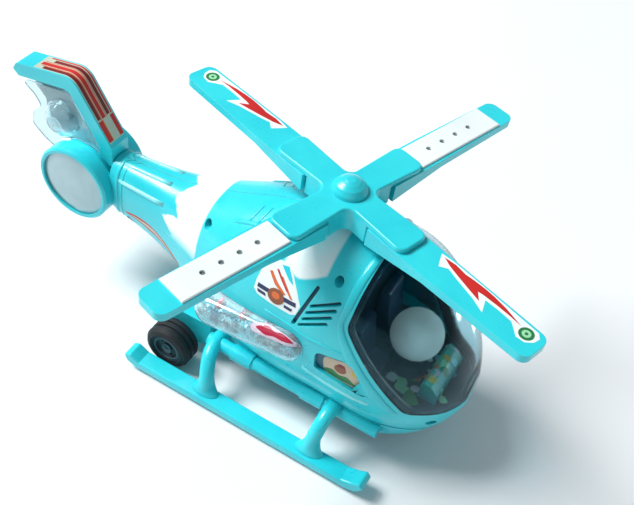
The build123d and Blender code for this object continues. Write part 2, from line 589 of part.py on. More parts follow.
seat_side = [(x, FLOOR_Z + COCKPIT_GAP + z) for x, z in SEAT]
with BuildPart() as seats:
    add(side_prism(seat_side, -SEAT_Y - SEAT_W / 2, -SEAT_Y + SEAT_W / 2, SEAT_R))
    mirror(about=Plane.XZ)
keep(seats, "seats")
dash_side = [(x, FLOOR_Z + COCKPIT_GAP + z) for x, z in DASH]
with BuildPart() as dashboard:
    add(side_prism(dash_side, -DASH_W / 2, DASH_W / 2))
    add(HULL_LINER, mode=Mode.INTERSECT)
keep(dashboard, "dashboard")
with BuildPart() as light_globe:
    with Locations((GLOBE_X, 0, GLOBE_Z)):
        Sphere(GLOBE_R)
        Sphere(GLOBE_R - GLOBE_WALL, mode=Mode.SUBTRACT)
    add(bar_z(GLOBE_MOUTH_R, GLOBE_X, 0, GLOBE_Z - GLOBE_R - 4, GLOBE_Z - GLOBE_R + 4),
        mode=Mode.SUBTRACT)
keep(light_globe, "light_globe")
with BuildPart() as globe_stem:
    z = FLOOR_Z + COCKPIT_GAP
    add(spun_z(((0, z), (11, z), (11, z + 1.8), (7, z + 4.8), (5.9, z + 10.8), (5.9, z + 15.8),
                (LAMP_R, z + 15.8), (LAMP_R, z + 20), (1.8, z + 22.2), (0, z + 22.8)), GLOBE_X))
keep(globe_stem, "globe_stem")

# ---- side windows and light pods --------------------------------------------------------------
with BuildPart() as window_panels:
    add(HULL_IN)
    add(HULL_LINER, mode=Mode.SUBTRACT)
    add(side_prism(WINDOW_PANEL, -REACH, REACH), mode=Mode.INTERSECT)
keep(window_panels, "window_panels")
with BuildPart() as hollow:
    add(pod_block(-1, -POD_SKIN, POD_Y_OUT - POD_SKIN))
    fillet(hollow.faces().sort_by(Axis.Y)[0].edges(), POD_ROUND - POD_SKIN)
with BuildPart() as pod_covers:
    add(pod_block(-1, 0.0, POD_Y_OUT))
    fillet(pod_covers.faces().sort_by(Axis.Y)[0].edges(), POD_ROUND)
    add(hollow.part, mode=Mode.SUBTRACT)
    mirror(about=Plane.XZ)
keep(pod_covers, "pod_covers")
with BuildPart() as pod_reflectors:
    add(pod_block(-1, -POD_SKIN - 0.1, POD_Y_IN + 1.2))
    mirror(about=Plane.XZ)
keep(pod_reflectors, "pod_reflectors")
with BuildPart() as pod_lamps:
    for x in POD_LAMP_XS:
        z = POD_Z + (x - POD_X) * math.tan(math.radians(POD_TILT))
        add(spun_y(((0, 0), (LAMP_R, 0), (LAMP_R, -4), (1.8, -5.8), (0, -6.4)), x, z, -POD_Y_IN - 1.3))
    mirror(about=Plane.XZ)
keep(pod_lamps, "pod_lamps")

# ---- tail -------------------------------------------------------------------------------------
inner, face, rim = DRUM_R - DRUM_WALL, DRUM_HALF - 1.5, DRUM_NECK_R - DRUM_WALL
half_drum = (
    (DRUM_NECK_R, DRUM_NECK_HALF - 2), (DRUM_R, DRUM_NECK_HALF), (DRUM_R, DRUM_HALF - 1.2),
    (DRUM_R - 1.2, DRUM_HALF), (LENS_R, DRUM_HALF), (LENS_R, face), (inner, face),
    (inner, DRUM_NECK_HALF), (rim, DRUM_NECK_HALF),
)
drum_profile = list(half_drum) + [(r, -y) for r, y in reversed(half_drum)]
with BuildPart() as tail_drum:
    add(spun_y(drum_profile, DRUM_X, DRUM_Z))
keep(tail_drum, "tail_drum")
lens_profile = (
    (0, -DRUM_HALF - 1.0), (8, -DRUM_HALF - 0.7), (15, -DRUM_HALF), (19, -DRUM_HALF + 0.8),
    (LENS_R - 0.05, -DRUM_HALF + 1.6), (inner - 0.1, -DRUM_HALF + 1.6),
    (inner - 0.1, -DRUM_HALF + 3.0), (0, -DRUM_HALF + 3.0),
)
with BuildPart() as drum_lenses:
    add(spun_y(lens_profile, DRUM_X, DRUM_Z))
    mirror(about=Plane.XZ)
keep(drum_lenses, "drum_lenses")
with BuildPart() as band:
    add(side_prism(FIN_BAND, -FIN_HALF, FIN_HALF, FIN_R))
    add(DRUM_ROOM, mode=Mode.SUBTRACT)
    add(HULL_OUT, mode=Mode.SUBTRACT)
with BuildPart() as fin_band:
    add(biggest(band.solids()))
keep(fin_band, "fin_band")
blister = (
    (0, -BLISTER_Y), (5, -BLISTER_Y + 0.8), (9, -BLISTER_Y + 3.4), (11.3, -BLISTER_Y + 6.5),
    (BLISTER_R, -FIN_HALF + 0.2), (BLISTER_R - 1.4, -FIN_HALF + 0.2), (9.8, -BLISTER_Y + 6.5),
    (7.8, -BLISTER_Y + 4.3), (4.5, -BLISTER_Y + 2.1), (0, -BLISTER_Y + 1.4),
)
with BuildPart() as glass:
    add(side_prism(TAIL_GLASS, -FIN_HALF, -FIN_HALF + TAIL_GLASS_T, TAIL_GLASS_R))
    add(spun_y(blister, BLISTER_X, BLISTER_Z))
    add(bar_y(BLISTER_R - 1.4, BLISTER_X, BLISTER_Z, -8, 0), mode=Mode.SUBTRACT)
    add(DRUM_ROOM, mode=Mode.SUBTRACT)
    add(fin_band.part, mode=Mode.SUBTRACT)
with BuildPart() as tail_glass_right:
    add(biggest(glass.solids()))
keep(tail_glass_right, "tail_glass_right")
with BuildPart() as tail_glass_left:
    mirror(tail_glass_right.part, about=Plane.XZ)
keep(tail_glass_left, "tail_glass_left")
with BuildPart() as web:
    add(side_prism(TAIL_WEB, -TAIL_WEB_T / 2, TAIL_WEB_T / 2))
    add(bar_y(DRUM_NECK_R + 0.1, DRUM_X, DRUM_Z, -30, 30), mode=Mode.SUBTRACT)
    add(fin_band.part, mode=Mode.SUBTRACT)
with BuildPart() as tail_web:
    add(biggest(web.solids()))
    add(bar_y(3.4, BLISTER_X, BLISTER_Z, -7, 7))
keep(tail_web, "tail_web")

# ---- rotor drive ------------------------------------------------------------------------------


def gear_outline(teeth):
    """Points round an involute spur gear."""
    pitch = MODULE * teeth / 2
    base, tip, root = pitch * math.cos(PRESSURE), pitch + MODULE, pitch - 1.25 * MODULE
    half_tooth = math.pi / (2 * teeth) + math.tan(PRESSURE) - PRESSURE - BACKLASH / pitch
    flank = [(root, half_tooth)]
    for step in range(5):
        radius = max(base, root) + (tip - max(base, root)) * step / 4
        roll = math.acos(min(1.0, base / radius))
        flank.append((radius, half_tooth - math.tan(roll) + roll))
    tooth = [(radius, -angle) for radius, angle in flank] + list(reversed(flank))
    points = []
    for i in range(teeth):
        for radius, angle in tooth:
            turn = 2 * math.pi * i / teeth + angle
            points.append((radius * math.cos(turn), radius * math.sin(turn)))
    return points


with BuildPart() as rotor_gear:
    with BuildSketch(Plane.XY.offset(GEAR_Z).shift_origin((ROTOR_X, 0, GEAR_Z))):
        with BuildLine():
            Polyline(*gear_outline(GEAR_TEETH), close=True)
        make_face()
        with PolarLocations(8.8, 5):
            Circle(2.4, mode=Mode.SUBTRACT)
    extrude(amount=GEAR_T)
    add(bar_z(GEAR_BOSS_R, ROTOR_X, 0, GEAR_Z, GEAR_Z + GEAR_T + GEAR_BOSS_H))
    add(bar_z(SHAFT_R, ROTOR_X, 0, 100, 130), mode=Mode.SUBTRACT)
keep(rotor_gear, "rotor_gear")
with BuildPart() as pinion:
    with BuildSketch(Plane.XY.offset(GEAR_Z - 1)):
        with BuildLine():
            Polyline(*gear_outline(PINION_TEETH), close=True)
        make_face()
    extrude(amount=GEAR_T + 2)
    with BuildSketch(Plane.XY.offset(PLATE_Z - 2)):
        Circle(MOTOR_SHAFT_R)
    extrude(amount=GEAR_Z - PLATE_Z + 2)
mesh_turn = 180.0 / PINION_TEETH  # a gap of the pinion faces a tooth of the gear
with BuildPart() as motor_pinion:
    add(Pos(MOTOR_X, 0, 0) * Rot(0, 0, mesh_turn) * pinion.part)
keep(motor_pinion, "motor_pinion")
with BuildPart() as rotor_motor:
    add(bar_z(MOTOR_R, MOTOR_X, 0, PLATE_Z - MOTOR_L, PLATE_Z))
    with Locations((MOTOR_X, 0, PLATE_Z - MOTOR_L / 2)):
        Box(40, 2 * MOTOR_FLAT, 40, mode=Mode.INTERSECT)
    add(bar_z(MOTOR_SHAFT_R + RUNNING, MOTOR_X, 0, PLATE_Z - 3, PLATE_Z + 1), mode=Mode.SUBTRACT)
keep(rotor_motor, "rotor_motor")
with BuildPart() as gear_plate:
    with Locations(((MOTOR_X - 12 + ROTOR_X + 10) / 2, 0, PLATE_Z + PLATE_T / 2)):
        Box(ROTOR_X - MOTOR_X + 22, PLATE_W, PLATE_T)
    for side in (-1, 1):
        add(bar_z(3, ROTOR_X + 6, side * 18.5, PLATE_Z, 120))
    add(bar_z(3.5, ROTOR_X, 0, PLATE_Z - 3, PLATE_Z + PLATE_T))
    add(bar_z(2.4, MOTOR_X, 0, 90, 120), mode=Mode.SUBTRACT)
    add(bar_z(SHAFT_R + RUNNING, ROTOR_X, 0, 90, 120), mode=Mode.SUBTRACT)
keep(gear_plate, "gear_plate")
with BuildPart() as mast_bush:
    add(bar_z(BUSH_R - 0.02, ROTOR_X, 0, BUSH_Z[0], BUSH_Z[2]))
    add(bar_z(BUSH_R + 1.5, ROTOR_X, 0, BUSH_Z[0], BUSH_Z[1]))
    add(bar_z(SHAFT_R + RUNNING, ROTOR_X, 0, 120, 140), mode=Mode.SUBTRACT)
keep(mast_bush, "mast_bush")
with BuildPart() as rotor_shaft:
    add(bar_z(SHAFT_R, ROTOR_X, 0, PLATE_Z - 4, BLADE_TOP_Z))
keep(rotor_shaft, "rotor_shaft")

# ---- rotor hub, cap, blades and covers --------------------------------------------------------
arm_top = BLADE_TOP_Z + ARM_H
cross_outline = []
for i in range(4):
    ahead = complex(round(math.cos(math.pi / 2 * i)), round(math.sin(math.pi / 2 * i)))
    for reach, across in ((ARM_ROOT_W / 2, -ARM_ROOT_W / 2), (ARM_END_R, -ARM_END_W / 2),
                          (ARM_END_R, ARM_END_W / 2)):
        corner = ahead * complex(reach, across)
        cross_outline.append((corner.real, corner.imag))
with BuildPart() as cross:
    with BuildSketch(Plane.XY.offset(BLADE_TOP_Z)) as arms:
        with BuildLine():
            Polyline(*cross_outline, close=True)
        make_face()
        fillet([v for v in arms.vertices() if math.hypot(v.X, v.Y) < ARM_ROOT_W], 5.0)
        fillet([v for v in arms.vertices() if math.hypot(v.X, v.Y) > ARM_END_R], 5.0)
    extrude(amount=ARM_H)
    fillet(cross.faces().sort_by(Axis.Z)[-1].edges(), 1.2)
    with BuildPart(mode=Mode.PRIVATE) as root:
        with BuildSketch(Plane.XY.offset(HUB_LOW_Z)):
            add(arms.sketch.moved(Location((0, 0, HUB_LOW_Z - BLADE_TOP_Z))))
        extrude(amount=BLADE_TOP_Z - HUB_LOW_Z)
        add(bar_z(BLADE_START_R - 0.2, 0, 0, 100, 200), mode=Mode.INTERSECT)
    add(root.part)
    add(bar_z(SHAFT_R, 0, 0, 100, BLADE_TOP_Z), mode=Mode.SUBTRACT)
with BuildPart() as rotor_hub:
    add(on_mast(cross.part))
keep(rotor_hub, "rotor_hub")
with BuildPart() as rotor_cap:
    z = arm_top
    add(spun_z(((0, z), (CAP_R, z), (CAP_R - 0.5, z + 2.0), (CAP_R - 2.3, z + 4.4),
                (CAP_R - 5.0, z + 6.2), (2.4, z + CAP_H), (0, z + CAP_H + 0.2)), ROTOR_X))
keep(rotor_cap, "rotor_cap")


def blade_plan(inset):
    """Outline of a blade seen from above, shrunk by inset."""
    upper = [(BLADE_START_R + inset, BLADE_ROOT_W / 2 - inset), (BLADE_FLAT_R, BLADE_ROOT_W / 2 - inset),
             (ROTOR_R - inset, BLADE_TIP_W / 2 - inset)]
    return upper + [(x, -y) for x, y in reversed(upper)]


blade_side = (
    (BLADE_START_R, BLADE_TOP_Z), (ROTOR_R, BLADE_TOP_Z), (ROTOR_R, BLADE_TOP_Z - BLADE_THIN),
    (BLADE_FLAT_R, BLADE_TOP_Z - BLADE_THIN), (BLADE_START_R, BLADE_TOP_Z - BLADE_DEEP),
)
with BuildPart() as blade:
    with BuildSketch(Plane.XY.offset(BLADE_TOP_Z)) as outer:
        with BuildLine():
            Polyline(*blade_plan(0.0), close=True)
        make_face()
        fillet([v for v in outer.vertices() if v.X > ROTOR_R - 1], TIP_ROUND)
    extrude(amount=-BLADE_DEEP)
    add(side_prism(blade_side, -15, 15), mode=Mode.INTERSECT)
    with BuildSketch(Plane.XY.offset(BLADE_TOP_Z - BLADE_SKIN)) as room:
        with BuildLine():
            Polyline(*blade_plan(BLADE_SKIN), close=True)
        make_face()
        fillet([v for v in room.vertices() if v.X > ROTOR_R - 3], TIP_ROUND - BLADE_SKIN)
    extrude(amount=-BLADE_DEEP, mode=Mode.SUBTRACT)
    for r in BLADE_RIBS_R:
        with Locations((r, 0, BLADE_TOP_Z - 2.5)):
            Box(1.2, 18.4, 3.0)
for i in range(4):
    with BuildPart() as rotor_blade:
        add(on_mast(blade.part, 90.0 * i))
    keep(rotor_blade, f"rotor_blade_{i + 1}")
with BuildPart() as cover:
    with Locations(((COVER_START_R + COVER_END_R) / 2, 0, BLADE_TOP_Z + COVER_T / 2)):
        Box(COVER_END_R - COVER_START_R, COVER_W, COVER_T)
    fillet(cover.faces().sort_by(Axis.Z)[-1].edges(), 0.7)
    with Locations(*((r, 0, BLADE_TOP_Z) for r in COVER_HOLES_R)):
        Cylinder(COVER_HOLE_R, 8, mode=Mode.SUBTRACT)
with BuildPart() as blade_covers:
    add(on_mast(cover.part, 90.0))
    add(on_mast(cover.part, 270.0))
keep(blade_covers, "blade_covers")

# ---- export -----------------------------------------------------------------------------------
low = min(piece.bounding_box().min.X for piece in parts.values())
high = max(piece.bounding_box().max.X for piece in parts.values())
for name, piece in parts.items():
    placed = Pos(-(low + high) / 2, 0, 0) * piece
    placed.label = name
    export_step(placed, f"parts/{name}.step")
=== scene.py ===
import math
import random

import bmesh
import bpy
from mathutils import Matrix, Vector
from mathutils.bvhtree import BVHTree


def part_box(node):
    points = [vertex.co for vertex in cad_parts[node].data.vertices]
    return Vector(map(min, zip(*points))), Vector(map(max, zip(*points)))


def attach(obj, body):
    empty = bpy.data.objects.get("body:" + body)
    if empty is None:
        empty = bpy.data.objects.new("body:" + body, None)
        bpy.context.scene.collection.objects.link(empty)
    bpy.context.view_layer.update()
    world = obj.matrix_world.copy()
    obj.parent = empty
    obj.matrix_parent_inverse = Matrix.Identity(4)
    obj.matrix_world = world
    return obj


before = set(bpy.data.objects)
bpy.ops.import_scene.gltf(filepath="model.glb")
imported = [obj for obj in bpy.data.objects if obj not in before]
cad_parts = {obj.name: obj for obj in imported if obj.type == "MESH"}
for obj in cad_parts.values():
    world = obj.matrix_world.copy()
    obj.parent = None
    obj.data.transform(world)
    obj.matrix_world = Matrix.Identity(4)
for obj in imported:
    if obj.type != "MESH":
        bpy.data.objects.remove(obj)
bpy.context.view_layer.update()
MM = 0.001

# Layout millimetres: x runs towards the nose from a station 4 mm ahead of the mast.
mast_low, mast_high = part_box("rotor_shaft")
SHIFT = (mast_low.x + mast_high.x) / 2 / MM + 4.0


def at(x, y, z):
    """A point given in layout millimetres, in metres in the row frame."""
    return Vector(((x + SHIFT) * MM, y * MM, z * MM))


# ---------------------------------------------------------------- materials

def srgb(r, g, b):
    """Linear colour from 0-255 values."""
    out = []
    for c in (r, g, b):
        c = c / 255
        out.append(c / 12.92 if c <= 0.04045 else ((c + 0.055) / 1.055) ** 2.4)
    return (*out, 1.0)


class Shader:
    """A Principled material with its helper nodes."""
    COLOUR_INPUTS, COLOUR_OUTPUT = (6, 7), 2  # the Mix node's sockets when it mixes colours

    def __init__(self, name, rough=0.4, metallic=0.0, ior=1.48, coat=0.0, coat_rough=0.1,
                 transmission=0.0, subsurface=0.0):
        self.mat = bpy.data.materials.new(name)
        self.mat.use_nodes = True
        self.tree = self.mat.node_tree
        self.bsdf = self.tree.nodes["Principled BSDF"]
        put = self.bsdf.inputs
        put["Roughness"].default_value = rough
        put["Metallic"].default_value = metallic
        put["IOR"].default_value = ior
        put["Coat Weight"].default_value = coat
        put["Coat Roughness"].default_value = coat_rough
        put["Transmission Weight"].default_value = transmission
        put["Subsurface Weight"].default_value = subsurface
        put["Subsurface Scale"].default_value = 0.002
        self.coord = self.node("ShaderNodeTexCoord").outputs["Object"]

    def node(self, kind, **props):
        n = self.tree.nodes.new(kind)
        for key, value in props.items():
            setattr(n, key, value)
        return n

    def link(self, a, b):
        self.tree.links.new(a, b)

    def noise(self, scale, detail=3.0, rough=0.55, stretch=None):
        """Noise in the object's own metres, if wanted stretched along an axis."""
        n = self.node("ShaderNodeTexNoise")
        n.inputs["Scale"].default_value = scale
        n.inputs["Detail"].default_value = detail
        n.inputs["Roughness"].default_value = rough
        source = self.coord
        if stretch:
            m = self.node("ShaderNodeMapping")
            m.inputs["Scale"].default_value = stretch
            self.link(self.coord, m.inputs["Vector"])
            source = m.outputs["Vector"]
        self.link(source, n.inputs["Vector"])
        return n.outputs["Fac"]

    def ramp(self, fac, low, high, out_low=0.0, out_high=1.0):
        """Maps low-high onto out_low-out_high, held at both ends."""
        n = self.node("ShaderNodeMapRange")
        n.inputs["From Min"].default_value = low
        n.inputs["From Max"].default_value = high
        n.inputs["To Min"].default_value = out_low
        n.inputs["To Max"].default_value = out_high
        self.link(fac, n.inputs["Value"])
        return n.outputs["Result"]

    def mix(self, fac, a, b):
        """Colour a where fac is 0, b where it is 1."""
        n = self.node("ShaderNodeMix", data_type="RGBA")
        self.link(fac, n.inputs["Factor"])
        for index, value in zip(self.COLOUR_INPUTS, (a, b)):
            if isinstance(value, tuple):
                n.inputs[index].default_value = value
            else:
                self.link(value, n.inputs[index])
        return n.outputs[self.COLOUR_OUTPUT]

    def math(self, op, a, b):
        """One sum on two values, each a number or a socket."""
        n = self.node("ShaderNodeMath", operation=op)
        for socket, value in ((n.inputs[0], a), (n.inputs[1], b)):
            if isinstance(value, (int, float)):
                socket.default_value = value
            else:
                self.link(value, socket)
        return n.outputs[0]

    def edges(self, radius):
        """(soft normal, 0-1 mask of the sharp edges)."""
        soft = self.node("ShaderNodeBevel", samples=4)
        soft.inputs["Radius"].default_value = radius
        true = self.node("ShaderNodeNewGeometry").outputs["Normal"]
        dot = self.node("ShaderNodeVectorMath", operation="DOT_PRODUCT")
        self.link(soft.outputs["Normal"], dot.inputs[0])
        self.link(true, dot.inputs[1])
        return soft.outputs["Normal"], self.ramp(dot.outputs["Value"], 0.995, 0.90)

    def bump(self, height, strength, distance, normal=None):
        """Fine relief on top of the normal."""
        n = self.node("ShaderNodeBump")
        n.inputs["Strength"].default_value = strength
        n.inputs["Distance"].default_value = distance
        self.link(height, n.inputs["Height"])
        if normal is not None:
            self.link(normal, n.inputs["Normal"])
        self.link(n.outputs["Normal"], self.bsdf.inputs["Normal"])

    def colour(self, source):
        self.link(source, self.bsdf.inputs["Base Color"])

    def roughness(self, source):
        self.link(source, self.bsdf.inputs["Roughness"])


WEAR = 0.35             # how far a sharp edge fades to its worn colour
SKIN_STRENGTH = 0.25    # of the fine moulded grain
SMEAR_STRETCH = (1.0, 1.0, 2.2)


def plastic(name, colour, shade, worn, rough=0.36, grain=900.0, depth=0.00004, edge=0.0004,
            swing=0.10, coat=0.0, subsurface=0.0, metallic=0.0, painted_glow=0.0):
    """Moulded plastic: slow colour drift, fine skin, worn edges, uneven gloss, and an optional
    painted glow.
    """
    s = Shader(name, rough=rough, coat=coat, subsurface=subsurface, metallic=metallic)
    drift = s.ramp(s.noise(28.0, 4.0), 0.35, 0.68)
    skin = s.noise(grain, 3.0)
    body = s.mix(drift, colour, shade)
    normal, rim = s.edges(edge)
    body = s.mix(s.math("MULTIPLY", rim, WEAR), body, worn)
    s.colour(body)
    # painted glow: emission in the plastic's own colour, zero unless asked for
    s.bsdf.inputs["Emission Color"].default_value = colour
    s.bsdf.inputs["Emission Strength"].default_value = painted_glow
    smear = s.ramp(s.noise(60.0, 5.0, 0.65, SMEAR_STRETCH), 0.3, 0.75, rough - swing / 2,
                   rough + swing)
    s.roughness(smear)
    s.bump(skin, SKIN_STRENGTH, depth, normal)
    return s.mat


def clear(name, tint, drift_tint, rough=0.06, ior=1.46, body=1.0, coat=0.0, sky=(1, 1, 1, 1)):
    """Clear moulding: tinted, lightly scuffed, and it lets lamp light pass straight through."""
    s = Shader(name, rough=rough, transmission=body, ior=ior, coat=coat, coat_rough=0.04)
    s.bsdf.inputs["Specular Tint"].default_value = sky
    drift = s.ramp(s.noise(45.0, 3.0), 0.3, 0.7)
    s.colour(s.mix(drift, tint, drift_tint))
    scuff = s.ramp(s.noise(220.0, 6.0, 0.7, (1.0, 1.0, 3.0)), 0.45, 0.8, rough, rough + 0.12)
    s.roughness(scuff)
    s.bump(s.noise(120.0, 2.0), 0.12, 0.0001)
    passing = s.node("ShaderNodeBsdfTransparent")
    passing.inputs["Color"].default_value = tuple(c ** 0.25 for c in tint[:3]) + (1.0,)
    path = s.node("ShaderNodeLightPath")
    swap = s.node("ShaderNodeMixShader")
    s.link(path.outputs["Is Shadow Ray"], swap.inputs["Fac"])
    s.link(s.bsdf.outputs["BSDF"], swap.inputs[1])
    s.link(passing.outputs["BSDF"], swap.inputs[2])
    out = s.tree.nodes["Material Output"]
    s.link(swap.outputs["Shader"], out.inputs["Surface"])
    return s.mat


def metal(name, colour, shade):
    """Brushed bare metal with slow drift and uneven gloss."""
    s = Shader(name, rough=0.3, metallic=1.0)
    s.colour(s.mix(s.ramp(s.noise(80.0, 4.0), 0.35, 0.7), colour, shade))
    s.roughness(s.ramp(s.noise(250.0, 4.0), 0.3, 0.7, 0.22, 0.42))
    normal, _ = s.edges(0.0002)
    s.bump(s.noise(700.0, 2.0, 0.5, (1.0, 6.0, 1.0)), 0.2, 0.00003, normal)
    return s.mat


CYAN, DEEP_CYAN, WORN_CYAN = srgb(46, 214, 224), srgb(32, 200, 214), srgb(124, 232, 236)
MATS = {
    "cyan_plastic": plastic("cyan_plastic", CYAN, DEEP_CYAN, WORN_CYAN,
                            rough=0.30, coat=0.25, subsurface=0.04),
    "white_plastic": plastic("white_plastic", srgb(236, 244, 243), srgb(222, 233, 234),
                             srgb(250, 252, 250), rough=0.42),
    "smoke_clear": clear("smoke_clear", (0.58, 0.78, 0.83, 1), (0.50, 0.72, 0.78, 1), ior=1.3,
                         sky=(0.25, 0.66, 0.80, 1)),
    "dark_trim": plastic("dark_trim", srgb(16, 50, 66), srgb(10, 38, 52), srgb(50, 100, 118),
                         rough=0.34),
    "clear_plastic": clear("clear_plastic", (0.76, 0.94, 0.97, 1), (0.68, 0.89, 0.94, 1),
                           rough=0.07, body=0.88, coat=0.6, sky=(0.5, 0.85, 0.95, 1)),
    "silver_plastic": plastic("silver_plastic", srgb(176, 200, 206), srgb(150, 178, 184),
                              srgb(214, 226, 230), rough=0.30, metallic=0.55, coat=0.3,
                              depth=0.00001, swing=0.05),
    # the frosted globe's faint glow is painted light that brightens it
    "frosted_white": plastic("frosted_white", srgb(236, 240, 236), srgb(212, 220, 216),
                             srgb(240, 244, 243), rough=0.5, subsurface=0.15, painted_glow=0.10),
    "tyre_rubber": plastic("tyre_rubber", srgb(13, 24, 31), srgb(8, 16, 22), srgb(40, 54, 62),
                           rough=0.6, grain=500.0, depth=0.00012),
    "grey_plastic": plastic("grey_plastic", srgb(112, 140, 150), srgb(92, 122, 134),
                            srgb(170, 190, 196), rough=0.4),
    "black_plastic": plastic("black_plastic", srgb(24, 30, 34), srgb(16, 21, 25),
                             srgb(72, 80, 86), rough=0.42),
    "seat_blue": plastic("seat_blue", srgb(22, 62, 96), srgb(14, 46, 76), srgb(70, 116, 146),
                         rough=0.45),
    "dash_print": plastic("dash_print", srgb(40, 158, 168), srgb(60, 176, 150),
                          srgb(160, 220, 214), rough=0.35),
    "steel": metal("steel", srgb(176, 182, 186), srgb(140, 146, 150)),
    "brass": metal("brass", srgb(206, 170, 96), srgb(176, 140, 70)),
    "board_green": plastic("board_green", srgb(22, 104, 58), srgb(14, 82, 46),
                           srgb(90, 160, 110), rough=0.35),
    "lamp_red": plastic("lamp_red", srgb(214, 36, 60), srgb(186, 20, 48), srgb(246, 130, 140),
                        rough=0.2, coat=0.5, subsurface=0.1),
    "label_card": plastic("label_card", srgb(196, 160, 60), srgb(176, 140, 48),
                          srgb(230, 206, 130), rough=0.35),
    "window_print": plastic("window_print", srgb(17, 105, 127), srgb(12, 88, 110),
                            srgb(80, 160, 180), rough=0.35),
    "nylon": plastic("nylon", srgb(228, 226, 214), srgb(210, 208, 196), srgb(244, 243, 236),
                     rough=0.45, subsurface=0.1),
}

# The boom band is partly pale paint and partly a painted highlight on the flare; the patch beside
# the mast is a painted highlight.
BAND_FRONT_X, BAND_BACK_X = -76.0, -108.5   # white band round the boom
BAND_LOW_Z, BAND_FULL_Z = 0.074, 0.082      # it fades out between these heights
PATCH_FRONT_X, PATCH_BACK_X = 6.0, -20.0    # white patch beside the mast
PATCH_TURN_X, PATCH_SLOPE = -8.0, 0.49      # its low edge rises ahead of this station
PATCH_LOW_Z, PATCH_FULL_Z = 0.1108, 0.1122


def shell_plastic():
    """The hull's cyan with white painted in: a jagged band on the boom, partly pale paint and
    partly a painted highlight, and a painted highlight by the mast.
    """
    s = Shader("shell_plastic", rough=0.30, coat=0.25, subsurface=0.04)
    drift = s.ramp(s.noise(28.0, 4.0), 0.35, 0.68)
    body = s.mix(drift, CYAN, DEEP_CYAN)
    apart = s.node("ShaderNodeSeparateXYZ")
    s.link(s.coord, apart.inputs[0])
    x, y, z = apart.outputs
    side = s.math("ABSOLUTE", y, 0.0)
    wild = s.ramp(s.noise(70.0, 2.0), 0.3, 0.7, -1.0, 1.0)

    def station(source, off, full):
        """0 at layout x = off, 1 at layout x = full."""
        return s.ramp(source, (SHIFT + off) * MM, (SHIFT + full) * MM)

    # boom band, partly pale paint and partly a painted highlight: straight front edge, ragged back
    # edge
    tooth = s.math("PINGPONG", s.math("ADD", z, s.math("MULTIPLY", side, 0.6)), 0.006)
    back = s.math("ADD", s.math("MULTIPLY", tooth, 1.9), s.math("MULTIPLY", wild, 0.003))
    front = station(x, BAND_FRONT_X, BAND_FRONT_X - 1.2)
    rear = station(s.math("SUBTRACT", x, back), BAND_BACK_X, BAND_BACK_X + 2.0)
    under = s.ramp(z, BAND_LOW_Z, BAND_FULL_Z)
    band = s.math("MULTIPLY", s.math("MULTIPLY", front, rear), under)
    # patch, a painted highlight by the mast: its low edge is level, then climbs towards the nose
    past = s.math("MAXIMUM", s.math("SUBTRACT", x, (SHIFT + PATCH_TURN_X) * MM), 0.0)
    rise = s.math("SUBTRACT", s.math("SUBTRACT", z, s.math("MULTIPLY", past, PATCH_SLOPE)),
                  s.math("MULTIPLY", wild, 0.0006))
    patch = s.math("MULTIPLY", s.ramp(rise, PATCH_LOW_Z, PATCH_FULL_Z),
                   s.math("MULTIPLY", station(x, PATCH_FRONT_X, PATCH_FRONT_X - 1.6),
                          station(x, PATCH_BACK_X, PATCH_BACK_X + 2.0)))
    # white of the band (pale paint and painted highlight) and of the painted highlight by the mast,
    # laid over the cyan
    glare_and_paint = s.math("MAXIMUM", band, patch)
    body = s.mix(glare_and_paint, body, srgb(240, 248, 247))
    normal, rim = s.edges(0.0004)
    s.colour(s.mix(s.math("MULTIPLY", rim, WEAR), body, WORN_CYAN))
    s.roughness(s.ramp(s.noise(60.0, 5.0, 0.65, SMEAR_STRETCH), 0.3, 0.75, 0.25, 0.40))
    s.bump(s.noise(900.0, 3.0), SKIN_STRENGTH, 0.00004, normal)
    return s.mat


SHELL = shell_plastic()
HUB = plastic("hub_plastic", srgb(64, 86, 94), srgb(48, 70, 78), srgb(112, 134, 142), rough=0.4)
OWN_LOOK = {"right_shell": SHELL, "left_shell": SHELL, "rear_hubs": HUB}
for name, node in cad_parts.items():
    slot = node.data.materials[0].name.split(".")[0]
    node.data.materials.clear()
    node.data.materials.append(OWN_LOOK.get(name, MATS[slot]))

# ---------------------------------------------------------------- mesh helpers

def link_mesh(name, b, mat, body, smooth=True, tidy=True):
    """Turns a bmesh into a piece that rides on a CAD body."""
    if tidy:
        bmesh.ops.remove_doubles(b, verts=b.verts[:], dist=2e-6)
        bmesh.ops.recalc_face_normals(b, faces=b.faces[:])
    mesh = bpy.data.meshes.new(name)
    b.to_mesh(mesh)
    b.free()
    mesh.materials.append(mat)
    for face in mesh.polygons:
        face.use_smooth = smooth
    piece = bpy.data.objects.new(name, mesh)
    bpy.context.scene.collection.objects.link(piece)
    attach(piece, body)
    return piece


def tree_of(*names):
    """A search tree over the surfaces of the named CAD nodes."""
    verts, faces = [], []
    for name in names:
        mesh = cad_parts[name].data
        base = len(verts)
        verts += [v.co.copy() for v in mesh.vertices]
        faces += [[base + i for i in face.vertices] for face in mesh.polygons]
    return BVHTree.FromPolygons(verts, faces)


def onto(tree, start, aim):
    """(point, outward normal) where the ray from start towards aim first meets the tree."""
    start, aim = Vector(start), Vector(aim)
    way = (aim - start).normalized()
    spot, normal, _, _ = tree.ray_cast(start, way, (aim - start).length)
    if spot is None:
        spot, normal, _, _ = tree.find_nearest(start)
    if normal.dot(way) > 0:
        normal = -normal
    return spot, normal


